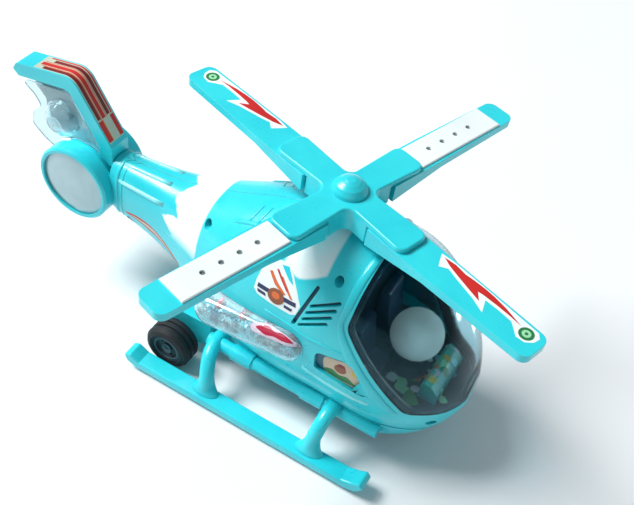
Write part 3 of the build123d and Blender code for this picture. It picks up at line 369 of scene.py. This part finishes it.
def soften(points, per=5, closed=True):
    """Catmull-Rom curve through 2-D or 3-D points."""
    pts = [Vector(p) for p in points]
    n = len(pts)
    out = []
    for i in range(n if closed else n - 1):
        p0 = pts[(i - 1) % n] if closed or i > 0 else pts[i]
        p1, p2 = pts[i], pts[(i + 1) % n]
        p3 = pts[(i + 2) % n] if closed or i + 2 < n else p2
        for k in range(per):
            t = k / per
            out.append(0.5 * (2 * p1 + (p2 - p0) * t + (2 * p0 - 5 * p1 + 4 * p2 - p3) * t ** 2
                              + (3 * p1 - p0 - 3 * p2 + p3) * t ** 3))
    if not closed:
        out.append(pts[-1])
    return out


def disc(cx, cy, r, n=28, squash=1.0):
    """An ellipse's outline, n points round."""
    turns = (2 * math.pi * i / n for i in range(n))
    return [(cx + r * math.cos(a), cy + r * squash * math.sin(a)) for a in turns]


def slab(name, outline, place, mat, body, lift=0.04, sink=0.05, step=2.0):
    """A thin closed piece laid on a surface: outline in the flat, place(u, v) gives the spot."""
    turned = sum(p[0] * q[1] - q[0] * p[1] for p, q in zip(outline, outline[1:] + outline[:1]))
    b = bmesh.new()
    ring = [b.verts.new((p[0], p[1], 0)) for p in (outline if turned > 0 else outline[::-1])]
    b.faces.new(ring)
    b.normal_update()
    bmesh.ops.triangulate(b, faces=b.faces[:])
    b.normal_update()
    for axis in (0, 1):
        low = min(p[axis] for p in outline)
        high = max(p[axis] for p in outline)
        k = math.floor(low / step) + 1
        while k * step < high:
            spot, normal = Vector((0, 0, 0)), Vector((0, 0, 0))
            spot[axis], normal[axis] = k * step, 1.0
            bmesh.ops.bisect_plane(b, geom=b.verts[:] + b.edges[:] + b.faces[:],
                                   dist=0.001, plane_co=spot, plane_no=normal)
            k += 1
    b.normal_update()
    bmesh.ops.triangulate(b, faces=b.faces[:])
    bmesh.ops.remove_doubles(b, verts=b.verts[:], dist=0.02)
    b.verts.index_update()
    flats = [[v.index for v in f.verts] for f in b.faces if f.calc_area() > 1e-6]
    halves = {(f[i - 1], f[i]) for f in flats for i in range(3)}
    tops, bottoms, normals = [], [], []
    for v in b.verts:
        spot, normal = place(v.co.x, v.co.y)
        tops.append(spot + normal * lift * MM)
        bottoms.append(spot - normal * sink * MM)
        normals.append(normal)
    b.free()
    lean = sum((tops[f[1]] - tops[f[0]]).cross(tops[f[2]] - tops[f[0]]).dot(normals[f[0]])
               for f in flats)
    s = bmesh.new()
    up = [s.verts.new(p) for p in tops]
    down = [s.verts.new(p) for p in bottoms]
    for f in flats:
        s.faces.new([up[i] for i in f])
        s.faces.new([down[i] for i in reversed(f)])
    for i, j in sorted(halves):
        if (j, i) not in halves:
            s.faces.new([up[j], up[i], down[i], down[j]])
    if lean < 0:
        bmesh.ops.reverse_faces(s, faces=s.faces[:])
    return link_mesh(name, s, mat, body, smooth=False, tidy=False)


def ridge(name, edge_a, edge_b, place, mat, height=0.8, sink=0.3, across=8, ends=0.06,
          flat=0.35):
    """A raised rounded band between two edge curves with the same number of points."""
    n = len(edge_a)
    top, bottom = [], []
    for i in range(n):
        t = i / (n - 1)
        fade = min(1.0, t / ends, (1 - t) / ends)
        fade = math.sqrt(max(0.0, 1 - (1 - fade) ** 2))
        row_t, row_b = [], []
        for j in range(across + 1):
            s = j / across
            p = edge_a[i].lerp(edge_b[i], s)
            spot, normal = place(p.x, p.y)
            rise = max(0.0, 1 - abs(2 * s - 1) ** (1 / flat)) ** 0.5
            row_t.append(spot + normal * (height * rise * fade + 0.01) * MM)
            row_b.append(spot - normal * sink * MM)
        top.append(row_t)
        bottom.append(row_b)
    b = bmesh.new()
    t = [[b.verts.new(p) for p in row] for row in top]
    d = [[b.verts.new(p) for p in row] for row in bottom]
    for i in range(n - 1):
        for j in range(across):
            b.faces.new([t[i][j], t[i + 1][j], t[i + 1][j + 1], t[i][j + 1]])
            b.faces.new([d[i][j], d[i][j + 1], d[i + 1][j + 1], d[i + 1][j]])
        b.faces.new([t[i][0], d[i][0], d[i + 1][0], t[i + 1][0]])
        b.faces.new([t[i][across], t[i + 1][across], d[i + 1][across], d[i][across]])
    for i, order in ((0, 1), (n - 1, -1)):
        for j in range(across):
            b.faces.new([t[i][j], t[i][j + 1], d[i][j + 1], d[i][j]][::order])
    return link_mesh(name, b, mat, "fuselage")


def close_layers(b, top, low):
    """Faces over two grids of vertices, closed all round their edge."""
    rows, columns = len(top) - 1, len(top[0]) - 1
    for i in range(rows):
        for j in range(columns):
            b.faces.new([top[i][j], top[i][j + 1], top[i + 1][j + 1], top[i + 1][j]])
            b.faces.new([low[i][j], low[i + 1][j], low[i + 1][j + 1], low[i][j + 1]])
    for i in range(rows):
        for k in (0, columns):
            b.faces.new([top[i][k], top[i + 1][k], low[i + 1][k], low[i][k]])
    for j in range(columns):
        for k in (0, rows):
            b.faces.new([top[k][j], top[k][j + 1], low[k][j + 1], low[k][j]])


# ---------------------------------------------------------------- where the prints lie

HULL = tree_of("right_shell", "left_shell")
POD = tree_of("pod_covers")
FIN = tree_of("fin_band")
PANELS = tree_of("window_panels")
ROTOR = Vector(((mast_low.x + mast_high.x) / 2, 0, 0))
BLADE_TURN = math.radians(-17.5)
OUTSIDE = 90            # mm from the middle, clear of the hull
HULL_AXIS_Z = 76        # mm, the hull's long axis
POD_X, POD_Z, POD_SLOPE = -29.5, 65.0, math.tan(math.radians(7.0))
POD_HALF_H, POD_OUT_Y = 10.5, 50.0


def on_side(tree, side):
    """place(x, z) on the starboard (-1) or port (1) side."""
    return lambda x, z: onto(tree, at(x, side * OUTSIDE, z), at(x, 0, z))


def on_pod_corner(side):
    """Maps (x, z) onto the rounded upper corner of a lamp pod, looking down at 45 degrees."""
    out = Vector((0.0, side * math.sqrt(0.5), math.sqrt(0.5)))
    up = Vector((0.0, -side * math.sqrt(0.5), math.sqrt(0.5)))

    def spot(x, z):
        across = 0.95 * (z - 71.0 + 0.10 * (x + 24.0)) * MM
        corner = at(x + 1.2, side * POD_OUT_Y,
                    POD_Z + POD_HALF_H + (x + 2.0 - POD_X) * POD_SLOPE)
        base = corner + up * across
        return onto(POD, base + out * 0.03, base - out * 0.012)
    return spot


def round_hull(side):
    """place(x, degrees above the horizontal), seen from the hull's long axis."""
    def place(x, angle):
        a = math.radians(angle)
        start = at(x, -OUTSIDE * math.cos(a), HULL_AXIS_Z + OUTSIDE * math.sin(a))
        hit = onto(HULL, start, at(x, 0, HULL_AXIS_Z))
        return hit if side < 0 else tuple(Vector((v.x, -v.y, v.z)) for v in hit)
    return place


def on_blade(index):
    """place(r, w) on top of a blade: r out along it from the mast, w across it."""
    tree = tree_of(f"rotor_blade_{index}")
    turn = BLADE_TURN + math.pi / 2 * (index - 1)
    ahead = Vector((math.cos(turn), math.sin(turn), 0))
    aside = Vector((-math.sin(turn), math.cos(turn), 0))

    def place(r, w):
        spot = ROTOR + ahead * r * MM + aside * w * MM
        return onto(tree, spot + Vector((0, 0, 0.2)), spot + Vector((0, 0, 0.1)))
    return place


FIN_BEND = 9.0          # mm each side of the corner, over which the direction turns
FIN_PATH = [Vector((-151.0, 103.5)), Vector((-177.5, 141.5)), Vector((-219.0, 133.0))]


def on_fin(s, y):
    """place(s, y): s runs up the fin's front face and back along its top."""
    first = (FIN_PATH[1] - FIN_PATH[0]).length
    ways = [(FIN_PATH[i + 1] - FIN_PATH[i]).normalized() for i in (0, 1)]
    spot = FIN_PATH[0] + ways[0] * s if s < first else FIN_PATH[1] + ways[1] * (s - first)
    mix = min(1.0, max(0.0, (s - first + FIN_BEND) / (2 * FIN_BEND)))
    way = ways[0].lerp(ways[1], mix).normalized()
    out = Vector((-way.y, way.x))
    if out.x + out.y < 0:
        out = -out
    far = spot + out * 12.0
    return onto(FIN, at(far.x, y, far.y), at(spot.x - out.x * 3, y, spot.y - out.y * 3))


# ---------------------------------------------------------------- printed stickers

def ink(name, colour, shade):
    """Printed film: smooth, with hardly any wear."""
    return plastic(name, colour, shade, colour, rough=0.34, grain=1600.0, depth=0.00001,
                   edge=0.0001, swing=0.06)


INK = {
    "cyan": ink("ink_cyan", srgb(40, 204, 220), srgb(30, 190, 208)),
    "slate": ink("painted_hole_shade", srgb(118, 132, 134), srgb(98, 112, 116)),
    "red": ink("ink_red", srgb(206, 44, 38), srgb(186, 34, 32)),
    "deep_red": ink("ink_deep_red", srgb(128, 34, 36), srgb(104, 26, 30)),
    "crimson": ink("ink_crimson", srgb(190, 40, 72), srgb(164, 28, 58)),
    "orange": ink("ink_orange", srgb(226, 110, 50), srgb(206, 90, 40)),
    "white": ink("ink_white", srgb(240, 246, 244), srgb(226, 236, 235)),
    "pale": ink("ink_pale", srgb(196, 208, 190), srgb(176, 190, 172)),
    "green": ink("ink_green", srgb(44, 128, 72), srgb(32, 108, 60)),
    "mint": ink("ink_mint", srgb(160, 226, 178), srgb(140, 208, 160)),
    "navy": ink("ink_navy", srgb(34, 46, 92), srgb(26, 34, 74)),
    "brown": ink("ink_brown", srgb(146, 84, 52), srgb(120, 64, 40)),
    "sand": ink("ink_sand", srgb(206, 188, 162), srgb(186, 168, 144)),
    # dark teal for the plates behind the louvres: painted shade of the vent recess
    "teal": ink("painted_vent_shade", srgb(14, 98, 122), srgb(10, 84, 108)),
    "pink": ink("ink_pink", srgb(220, 200, 212), srgb(200, 176, 192)),
    "yellow": ink("ink_yellow", srgb(214, 190, 84), srgb(196, 170, 66)),
}


def sticker(name, layers, place, body, step=2.0):
    """Layers of (ink, outline), each printed a little higher than the one before."""
    for i, (colour, outline) in enumerate(layers):
        slab(f"{name}_{i + 1}", outline, place, INK[colour], body,
             lift=0.05 + 0.035 * i, sink=0.04, step=step)


def flip(outline, side):
    """The outline, turned over about its long axis when side is -1."""
    return [(p[0], p[1] * side) for p in outline]


BOLT_GROUND = ((57.5, 8.6), (64, 9.4), (80, 9.2), (100, 8.7), (119, 8.0), (121.6, 5.5),
               (121, 1.5), (118.2, -1.7), (113.4, -2.4), (110, 0.4), (106.5, 3.0), (98, 3.3),
               (90.6, 3.0), (94.5, -4.2), (86, -1.2), (79, 0.4), (72, 2.0), (66.5, 3.6),
               (62.2, 0.8), (59.6, 5.0))
BOLT = ((60, 7.7), (67, 8.5), (74, 7.7), (79, 8.2), (86, 8.5), (92, 8.2), (100, 7.2),
        (111.2, 4.6), (104, 5.0), (96, 5.0), (88, 4.7), (84.8, 4.2), (89.0, 0.0), (81, 1.7),
        (74, 3.3), (66, 5.3))
TARGET_R, TARGET_W = 115.6, 2.9     # middle of the target ring on a blade
for blade, side in ((1, 1), (3, -1)):
    place = on_blade(blade)
    sticker(f"bolt_{blade}", [("white", flip(BOLT_GROUND, side)), ("red", flip(BOLT, side)),
                              ("green", disc(TARGET_R, TARGET_W * side, 3.9)),
                              ("mint", disc(TARGET_R, TARGET_W * side, 2.3)),
                              ("green", disc(TARGET_R, TARGET_W * side, 0.9, 14))],
            place, "rotor", step=4.0)

# Grey discs on the blade covers stand for their holes: painted shade.
COVER_HOLES, COVER_HOLE_R = (61.0, 72.0, 83.0, 94.0), 1.42      # mm out from the mast
for blade in (2, 4):
    for i, r in enumerate(COVER_HOLES):
        slab(f"cover_hole_{blade}_{i + 1}", disc(r, 0.0, COVER_HOLE_R, 20), on_blade(blade),
             INK["slate"], "rotor", lift=0.2, sink=0.05, step=3.0)


def strip(s0, s1, y0, y1):
    """A stripe along the fin from s0 to s1, between y0 and y1."""
    return [(s0, y0), (s1, y0), (s1, y1), (s0, y1)]


FIN_STRIPES = [("pale", strip(3.0, 76.0, -6.6, 6.6)),
               ("red", strip(3.6, 17.0, -6.4, -3.2)), ("orange", strip(3.6, 17.0, -3.2, -2.5)),
               ("red", strip(3.6, 17.0, 3.4, 6.4)),
               ("deep_red", strip(18.0, 70.0, -6.0, -3.6)),
               ("orange", strip(17.0, 72.0, -3.5, -2.9)),
               ("red", strip(17.6, 74.0, -2.4, 0.4)), ("orange", strip(17.6, 73.0, 0.9, 1.5)),
               ("deep_red", strip(18.0, 68.0, 1.9, 4.4)), ("red", strip(17.6, 72.0, 5.0, 6.1))]
for i, (colour, outline) in enumerate(FIN_STRIPES):
    slab(f"fin_stripe_{i + 1}", outline, on_fin, INK[colour], "fuselage",
         lift=0.05 if i == 0 else 0.09, sink=0.04, step=1.6)

SIDES = ((-1, "right"), (1, "left"))
for side, tag in SIDES:
    place = on_side(HULL, side)
    # winged badge above the lamp pod
    sticker(f"badge_{tag}", [
        ("white", [(-29.5, 107.5), (-27.0, 111.0), (-21.0, 114.2), (-15.5, 115.0), (-11.0, 110.4),
                   (-6.6, 104.4), (-2.6, 97.6), (-3.8, 91.4), (-7.0, 89.6), (-20.0, 89.4),
                   (-28.6, 90.2), (-31.4, 92.4), (-31.2, 98.0)]),
        ("cyan", [(-19.6, 112.6), (-15.4, 113.6), (-11.8, 109.6), (-9.6, 106.2), (-13.0, 107.6)]),
        ("orange", [(-25.2, 106.6), (-23.6, 107.4), (-18.6, 103.2), (-12.2, 99.4), (-13.4, 98.4),
                    (-20.2, 101.6)]),
        ("orange", [(-18.2, 107.4), (-16.6, 107.6), (-12.4, 103.6), (-7.6, 98.6), (-9.2, 98.6),
                    (-14.2, 103.0)]),
        ("red", [(-21.6, 109.4), (-20.4, 109.8), (-11.4, 102.0), (-12.4, 101.4)]),
        ("navy", [(-29.6, 96.9), (-22.4, 97.2), (-21.4, 94.8), (-29.6, 94.5)]),
        ("navy", [(-13.4, 97.6), (-5.4, 98.0), (-4.9, 95.6), (-12.4, 95.2)]),
        ("navy", [(-29.2, 93.4), (-24.0, 93.4), (-23.4, 91.9), (-28.6, 91.9)]),
        ("navy", [(-11.6, 93.4), (-6.4, 93.4), (-6.8, 91.9), (-11.4, 91.9)]),
        ("brown", disc(-17.4, 95.4, 5.2, 26, 0.86)),
        ("orange", disc(-17.6, 96.0, 2.6, 18, 0.8))], place, "fuselage")
    # crescent low on the tail boom
    upper = soften([(-137.0, 66.6), (-128.0, 69.0), (-118.0, 69.4), (-109.0, 67.2),
                    (-100.0, 63.0), (-91.5, 56.0)], 4, closed=False)
    lower = soften([(-92.6, 54.6), (-101.0, 60.0), (-110.0, 63.2), (-119.0, 64.6),
                    (-128.0, 65.6), (-136.6, 65.6)], 4, closed=False)
    inner_up = soften([(-133.0, 66.8), (-118.0, 68.2), (-108.0, 65.8), (-99.0, 61.0)], 4,
                      closed=False)
    inner_low = soften([(-100.0, 60.8), (-109.0, 64.4), (-118.0, 66.0), (-132.0, 66.4)], 4,
                       closed=False)
    sticker(f"crescent_{tag}", [("red", upper + lower), ("pale", inner_up + inner_low)],
            place, "fuselage")
    # meadow print in the side window
    sticker(f"meadow_{tag}", [
        ("sand", soften([(17.5, 72.0), (24.5, 74.0), (33.5, 75.6), (39.5, 69.0), (44.5, 60.8),
                         (40.5, 58.6), (30.5, 59.2), (20.5, 60.4), (17.6, 65.0)], 4)),
        ("green", soften([(18.4, 63.4), (23.0, 65.4), (27.5, 63.6), (32.0, 64.6), (36.0, 62.0),
                          (39.0, 60.2), (30.5, 59.9), (20.6, 61.0)], 4)),
        ("brown", disc(27.4, 68.2, 3.6, 22, 0.85)),
        ("deep_red", [(25.0, 69.6), (30.4, 70.2), (29.6, 71.9), (27.2, 72.4), (25.4, 71.4)]),
        ("yellow", disc(36.2, 69.6, 2.2, 18))], on_side(PANELS, side), "fuselage")
    # flame on the lamp pod
    sticker(f"flame_{tag}", [
        ("pink", soften([(-27.0, 71.8), (-20.0, 74.6), (-12.0, 73.0), (-4.0, 70.6),
                         (3.0, 67.4), (-3.0, 66.0), (-10.0, 66.6), (-18.0, 67.0),
                         (-25.0, 68.0)], 4)),
        ("crimson", soften([(-24.0, 71.2), (-18.0, 73.4), (-13.0, 71.4), (-8.0, 71.6),
                        (-1.0, 68.2), (-7.0, 67.6), (-12.0, 68.6), (-17.0, 68.0),
                        (-21.0, 69.4)], 4))], on_pod_corner(side), "fuselage")

# printed card over the dashboard and the cockpit floor
CARD = tree_of("dashboard", "cockpit_floor")
dice = random.Random(7)


def on_card(x, y):
    """place(x, y), looking down on the dashboard and the cockpit floor."""
    return onto(CARD, at(x, y, 62), at(x, y, 44))


CARD_BACK_X, CARD_FRONT_X, CARD_HALF_Y = 47.0, 80.0, 24.0
for i in range(26):
    x, y = dice.uniform(CARD_BACK_X, CARD_FRONT_X), dice.uniform(-CARD_HALF_Y, CARD_HALF_Y)
    past_wall = abs(y) > 27.0 - (x - CARD_BACK_X) * 0.35
    under_globe = abs(y) < 7.0 and x < 60.0
    if past_wall or under_globe:
        continue
    size = dice.uniform(2.2, 4.6)
    outline = [(x + size * dice.uniform(0.75, 1.2) * math.cos(a),
                y + size * dice.uniform(0.6, 1.1) * math.sin(a))
               for a in (math.pi * k / 4 for k in range(8))]
    tint = dice.choice(("yellow", "green", "pink", "cyan", "sand", "orange", "mint", "white"))
    slab(f"card_print_{i + 1}", soften(outline, 3), on_card, INK[tint], "fuselage",
         lift=0.05 + 0.012 * i, sink=0.04, step=2.5)

# ---------------------------------------------------------------- raised mouldings

TRIM = MATS["cyan_plastic"]
# A lighter cyan for the sill and the boom ribs: painted highlight along their crests.
HIGHLIGHT_TRIM = plastic("cyan_ridge_highlight", srgb(150, 236, 240), srgb(120, 228, 236), srgb(200, 250, 250),
                    rough=0.26, coat=0.4)


def line(points, per):
    """An open smooth curve through the points."""
    return soften(points, per, closed=False)


for side, tag in SIDES:
    place, over = on_side(HULL, side), round_hull(side)
    # cheek moulding round the canopy opening
    ridge(f"cheek_{tag}",
          line([(27.0, 130.4), (25.6, 124.5), (24.2, 112.0), (23.2, 99.8), (32.0, 87.5),
                (44.0, 73.0), (55.0, 60.2), (64.0, 50.0)], 10),
          line([(22.6, 130.8), (20.8, 124.5), (19.8, 112.0), (19.4, 98.4), (26.6, 83.4),
                (38.0, 67.8), (49.4, 54.6), (57.0, 45.8)], 10),
          place, TRIM, height=1.1, sink=0.4, across=10, ends=0.05, flat=0.45)
    # long crease from the pod to the canopy, and the sill under the window, its lighter cyan a
    # painted highlight
    ridge(f"crease_{tag}",
          line([(-22.0, 84.0), (-6.0, 83.6), (6.0, 81.6), (20.0, 82.6), (33.0, 83.8)], 8),
          line([(-22.0, 82.4), (-6.0, 82.0), (6.0, 80.0), (20.0, 81.0), (34.0, 82.0)], 8),
          place, TRIM, height=0.55, across=6, ends=0.12)
    ridge(f"sill_{tag}", line([(6.0, 57.4), (22.0, 54.6), (36.0, 53.4), (48.0, 52.8)], 8),
          line([(6.0, 55.0), (22.0, 52.2), (36.0, 51.0), (47.0, 50.6)], 8),
          place, HIGHLIGHT_TRIM, height=0.8, across=6, ends=0.1)
    # two ribs along the top of the tail boom, their lighter cyan a painted highlight
    for count, (start, low, high) in enumerate(((-144.0, 38.5, 46.0), (-145.0, 71.5, 78.5))):
        stations = [start + 6.0 * k for k in range(7)]
        ridge(f"boom_rib_{tag}_{count + 1}", [Vector((x, low)) for x in stations],
              [Vector((x, high)) for x in stations], over, HIGHLIGHT_TRIM, height=1.2, ends=0.12,
              flat=0.5)
    # socket rings at the end of the boom
    ring = [-62.0 + 8.0 * k for k in range(20)]
    for k, (x0, x1, height) in enumerate(((-145.9, -142.9, 0.7), (-140.8, -139.6, 0.35))):
        ridge(f"boom_ring_{tag}_{k + 1}", [Vector((x0, a)) for a in ring],
              [Vector((x1, a)) for a in ring], over, TRIM, height=height, across=6, ends=0.02,
              flat=0.3)
    # engine fairing behind the mast: a lip and short cooling ribs
    ridge(f"fairing_lip_{tag}",
          line([(-58.0, 112.0), (-46.0, 117.4), (-34.0, 120.6), (-20.0, 122.2)], 6),
          line([(-58.0, 110.6), (-46.0, 115.8), (-34.0, 119.0), (-20.0, 120.6)], 6),
          place, TRIM, height=0.7, across=6, ends=0.08)
    for k in range(6):
        x0 = -50.0 + 5.4 * k
        arc = [(0.3 * j, 64.0 + 1.6 * j) for j in range(10)]
        ridge(f"fairing_rib_{tag}_{k + 1}", [Vector((x0 + lean, a)) for lean, a in arc],
              [Vector((x0 + 1.6 + lean, a)) for lean, a in arc], over, TRIM, height=0.5,
              across=5, ends=0.15)

# ---------------------------------------------------------------- flared feet of the struts
FEET = {"front": ((26.0, -55.5, 18.0), (25.5, -57.5, 7.0)),
        "rear": ((-47.0, -55.0, 17.0), (-45.5, -57.5, 7.0))}
FOOT_RINGS = ((7.7, 9.2, 4.6), (8.6, 8.6, 4.7), (9.8, 7.2, 4.75), (11.4, 6.0, 4.75),
              (13.2, 5.2, 4.7), (15.2, 4.75, 4.6), (17.2, 4.2, 4.2))    # z, half x, half y
FOOT_STEPS = 40


def foot(name, top, low, side):
    """A flared foot where a strut, running from top to low, meets the top of its skid."""
    b = bmesh.new()
    rings = []
    for z, half_x, half_y in FOOT_RINGS:
        mid = low.lerp(top, (z - low.z) / (top.z - low.z))
        slip = 0.8 * max(0.0, (12.0 - z) / 4.0)
        turns = (2 * math.pi * k / FOOT_STEPS for k in range(FOOT_STEPS))
        rings.append([b.verts.new(at(mid.x + half_x * math.cos(a),
                                     side * -(mid.y - slip + half_y * math.sin(a)), z))
                      for a in turns])
    for under, over in zip(rings, rings[1:]):
        for k in range(FOOT_STEPS):
            b.faces.new([under[k - 1], under[k], over[k], over[k - 1]])
    b.faces.new(rings[0][::-1])
    b.faces.new(rings[-1])
    link_mesh(name, b, TRIM, "fuselage")


for side, tag in SIDES:
    for end, (top, low) in FEET.items():
        foot(f"foot_{end}_{tag}", Vector(top), Vector(low), side)

# ---------------------------------------------------------------- behind the louvres and covers


def solid_spot(side, x, z):
    """The hull's outer skin near (x, z), stepping off any slot."""
    for dx, dz in ((0, 0), (0, 1.3), (0, -1.3), (1.3, 0), (-1.3, 0), (0, 2.6), (0, -2.6), (2.6, 0)):
        start, aim = at(x + dx, side * OUTSIDE, z + dz), at(x + dx, 0, z + dz)
        spot = HULL.ray_cast(start, (aim - start).normalized(), 0.089)[0]
        if spot is not None and abs(spot.y) > 0.024:
            return spot + Vector((-dx * MM, 0, -dz * MM))
    raise ValueError("no skin here")


def parabola(a, b, c, t):
    """The value at t of the parabola that passes a, b and c at 0, 0.5 and 1."""
    return a * (2 * t * t - 3 * t + 1) + b * (4 * t - 4 * t * t) + c * (2 * t * t - t)


def backing(name, side, xs, zs, depth, n=10):
    """A dark teal plate just inside the hull wall, through nine spots of the skin: painted shade
    seen through the louvres.
    """
    grid = [[solid_spot(side, x, z) for x in xs] for z in zs]
    b = bmesh.new()
    layers = []
    for deep in (depth, depth + 0.8):
        inset = Vector((0, -side * deep * MM, -0.3 * deep * MM))
        rows = []
        for i in range(n + 1):
            columns = [[parabola(*row, j / n) for row in grid] for j in range(n + 1)]
            rows.append([b.verts.new(parabola(*spots, i / n) + inset) for spots in columns])
        layers.append(rows)
    close_layers(b, *layers)
    link_mesh(name, b, INK["teal"], "fuselage")


def foil_look():
    """Foil in a pale cyan tint, with hard patches of white, dark blue-grey and warm grey: painted
    glints and painted dark reflections of crinkled foil.
    """
    s = Shader("foil", rough=0.25, metallic=0.35)
    cool = s.mix(s.ramp(s.noise(170.0, 3.0), 0.44, 0.56), srgb(170, 240, 248), srgb(22, 112, 138))
    warm = s.mix(s.ramp(s.noise(210.0, 3.0), 0.45, 0.57), srgb(240, 248, 248), srgb(96, 110, 112))
    # white patches are painted glints, dark blue-grey and grey ones painted dark reflections
    s.colour(s.mix(s.ramp(s.noise(60.0, 2.0), 0.54, 0.62), cool, warm))
    s.bump(s.noise(300.0, 3.0), 0.3, 0.0002)
    return s.mat


FOIL_HALF_L, FOIL_HALF_H, FOIL_DEPTH, FOIL_T = 31.0, 6.2, 3.2, 0.25
FOIL_NX, FOIL_NZ = 74, 14
FOIL_RIBBED = 0.55      # ribs up to this share of the height, random crinkles above


def foil(name, side, mat):
    """Foil close behind a lamp pod's cover: ribbed low down, crinkled above."""
    crinkle = random.Random(11)
    skin = []
    for i in range(FOIL_NZ + 1):
        xs = [POD_X + FOIL_HALF_L * (2 * j / FOIL_NX - 1) for j in range(FOIL_NX + 1)]
        up = FOIL_HALF_H * (2 * i / FOIL_NZ - 1)
        skin.append([on_side(POD, side)(x, POD_Z + (x - POD_X) * POD_SLOPE + up)[0] for x in xs])
    bumps = [[crinkle.uniform(-1.0, 1.0) if i > FOIL_NZ * FOIL_RIBBED else
              (0.75 if (j + i // 3) % 2 else -0.75) + crinkle.uniform(-0.25, 0.25)
              for j in range(FOIL_NX + 1)] for i in range(FOIL_NZ + 1)]
    b = bmesh.new()
    layers = []
    for deep in (FOIL_DEPTH, FOIL_DEPTH + FOIL_T):
        layers.append([[b.verts.new(spot + Vector((0, -side * (deep + bump) * MM, 0)))
                        for spot, bump in zip(*pair)] for pair in zip(skin, bumps)])
    close_layers(b, *layers)
    link_mesh(name, b, mat, "fuselage", smooth=False)


FOIL = foil_look()
for side, tag in SIDES:
    # dark plates behind the louvres, painted shade
    backing(f"vent_back_{tag}", side, (-7.0, 6.5, 21.0), (81.5, 98.0, 116.0), 2.6)
    foil(f"pod_foil_{tag}", side, FOIL)

# ---------------------------------------------------------------- stage, light, camera

def floor():
    """A plain pale floor, 12 m across."""
    mesh = bpy.data.meshes.new("floor")
    b = bmesh.new()
    bmesh.ops.create_grid(b, x_segments=1, y_segments=1, size=6.0)
    b.to_mesh(mesh)
    b.free()
    ground = bpy.data.objects.new("floor", mesh)
    bpy.context.scene.collection.objects.link(ground)
    s = Shader("floor_paper", rough=0.9)
    s.colour(s.mix(s.ramp(s.noise(3.0, 2.0), 0.3, 0.7), srgb(241, 244, 246), srgb(235, 239, 241)))
    mesh.materials.append(s.mat)


floor()


def area(name, spot, aim, size, power, colour=(1, 1, 1)):
    """A rectangular soft light at spot (metres), turned to aim."""
    data = bpy.data.lights.new(name, "AREA")
    data.shape = "RECTANGLE"
    data.size, data.size_y = size
    data.energy = power
    data.color = colour
    lamp = bpy.data.objects.new(name, data)
    bpy.context.scene.collection.objects.link(lamp)
    lamp.location = spot
    lamp.rotation_mode = "QUATERNION"
    lamp.rotation_quaternion = (Vector(aim) - Vector(spot)).to_track_quat("-Z", "Y")


# One big soft key from above and behind the tail, a faint fill, a small glint on the canopy.
area("key", (-2.6, -0.6, 3.1), (0.0, 0.0, 0.08), (1.6, 1.6), 222.0)
area("fill", (0.9, -1.1, 0.9), (0.0, 0.0, 0.05), (1.2, 1.2), 1.0, (0.90, 0.96, 1.0))
area("spark", (0.80, 0.59, 0.05), (0.12, 0.0, 0.10), (0.05, 0.03), 0.9)

world = bpy.data.worlds.new("studio")
bpy.context.scene.world = world
world.use_nodes = True
sky = world.node_tree.nodes["Background"].inputs
sky["Color"].default_value = (0.90, 0.95, 1.0, 1.0)
sky["Strength"].default_value = 0.27

bpy.context.scene.view_settings.view_transform = "Standard"


CAMERA_SPOT, CAMERA_LENS, SENSOR_W = (0.1749, -0.3345, 0.4698), 53.35, 36.0
CAMERA_AZ, CAMERA_EL, CAMERA_ROLL = 22.4, 45.9, 10.5    # degrees


def camera():
    """Looks down on the starboard side from ahead, rolled a little."""
    az, el, roll = (math.radians(a) for a in (CAMERA_AZ, CAMERA_EL, CAMERA_ROLL))
    back = Vector((math.sin(az) * math.cos(el), -math.cos(az) * math.cos(el), math.sin(el)))
    right = Vector((math.cos(az), math.sin(az), 0.0))
    up = back.cross(right)
    x = right * math.cos(roll) + up * math.sin(roll)
    y = up * math.cos(roll) - right * math.sin(roll)
    turn = Matrix((x, y, back)).transposed().to_4x4()
    turn.translation = Vector(CAMERA_SPOT)
    data = bpy.data.cameras.new("camera")
    data.sensor_width = SENSOR_W
    data.lens = CAMERA_LENS
    data.clip_start = 0.01
    eye = bpy.data.objects.new("camera", data)
    bpy.context.scene.collection.objects.link(eye)
    eye.matrix_world = turn
    bpy.context.scene.camera = eye


camera()
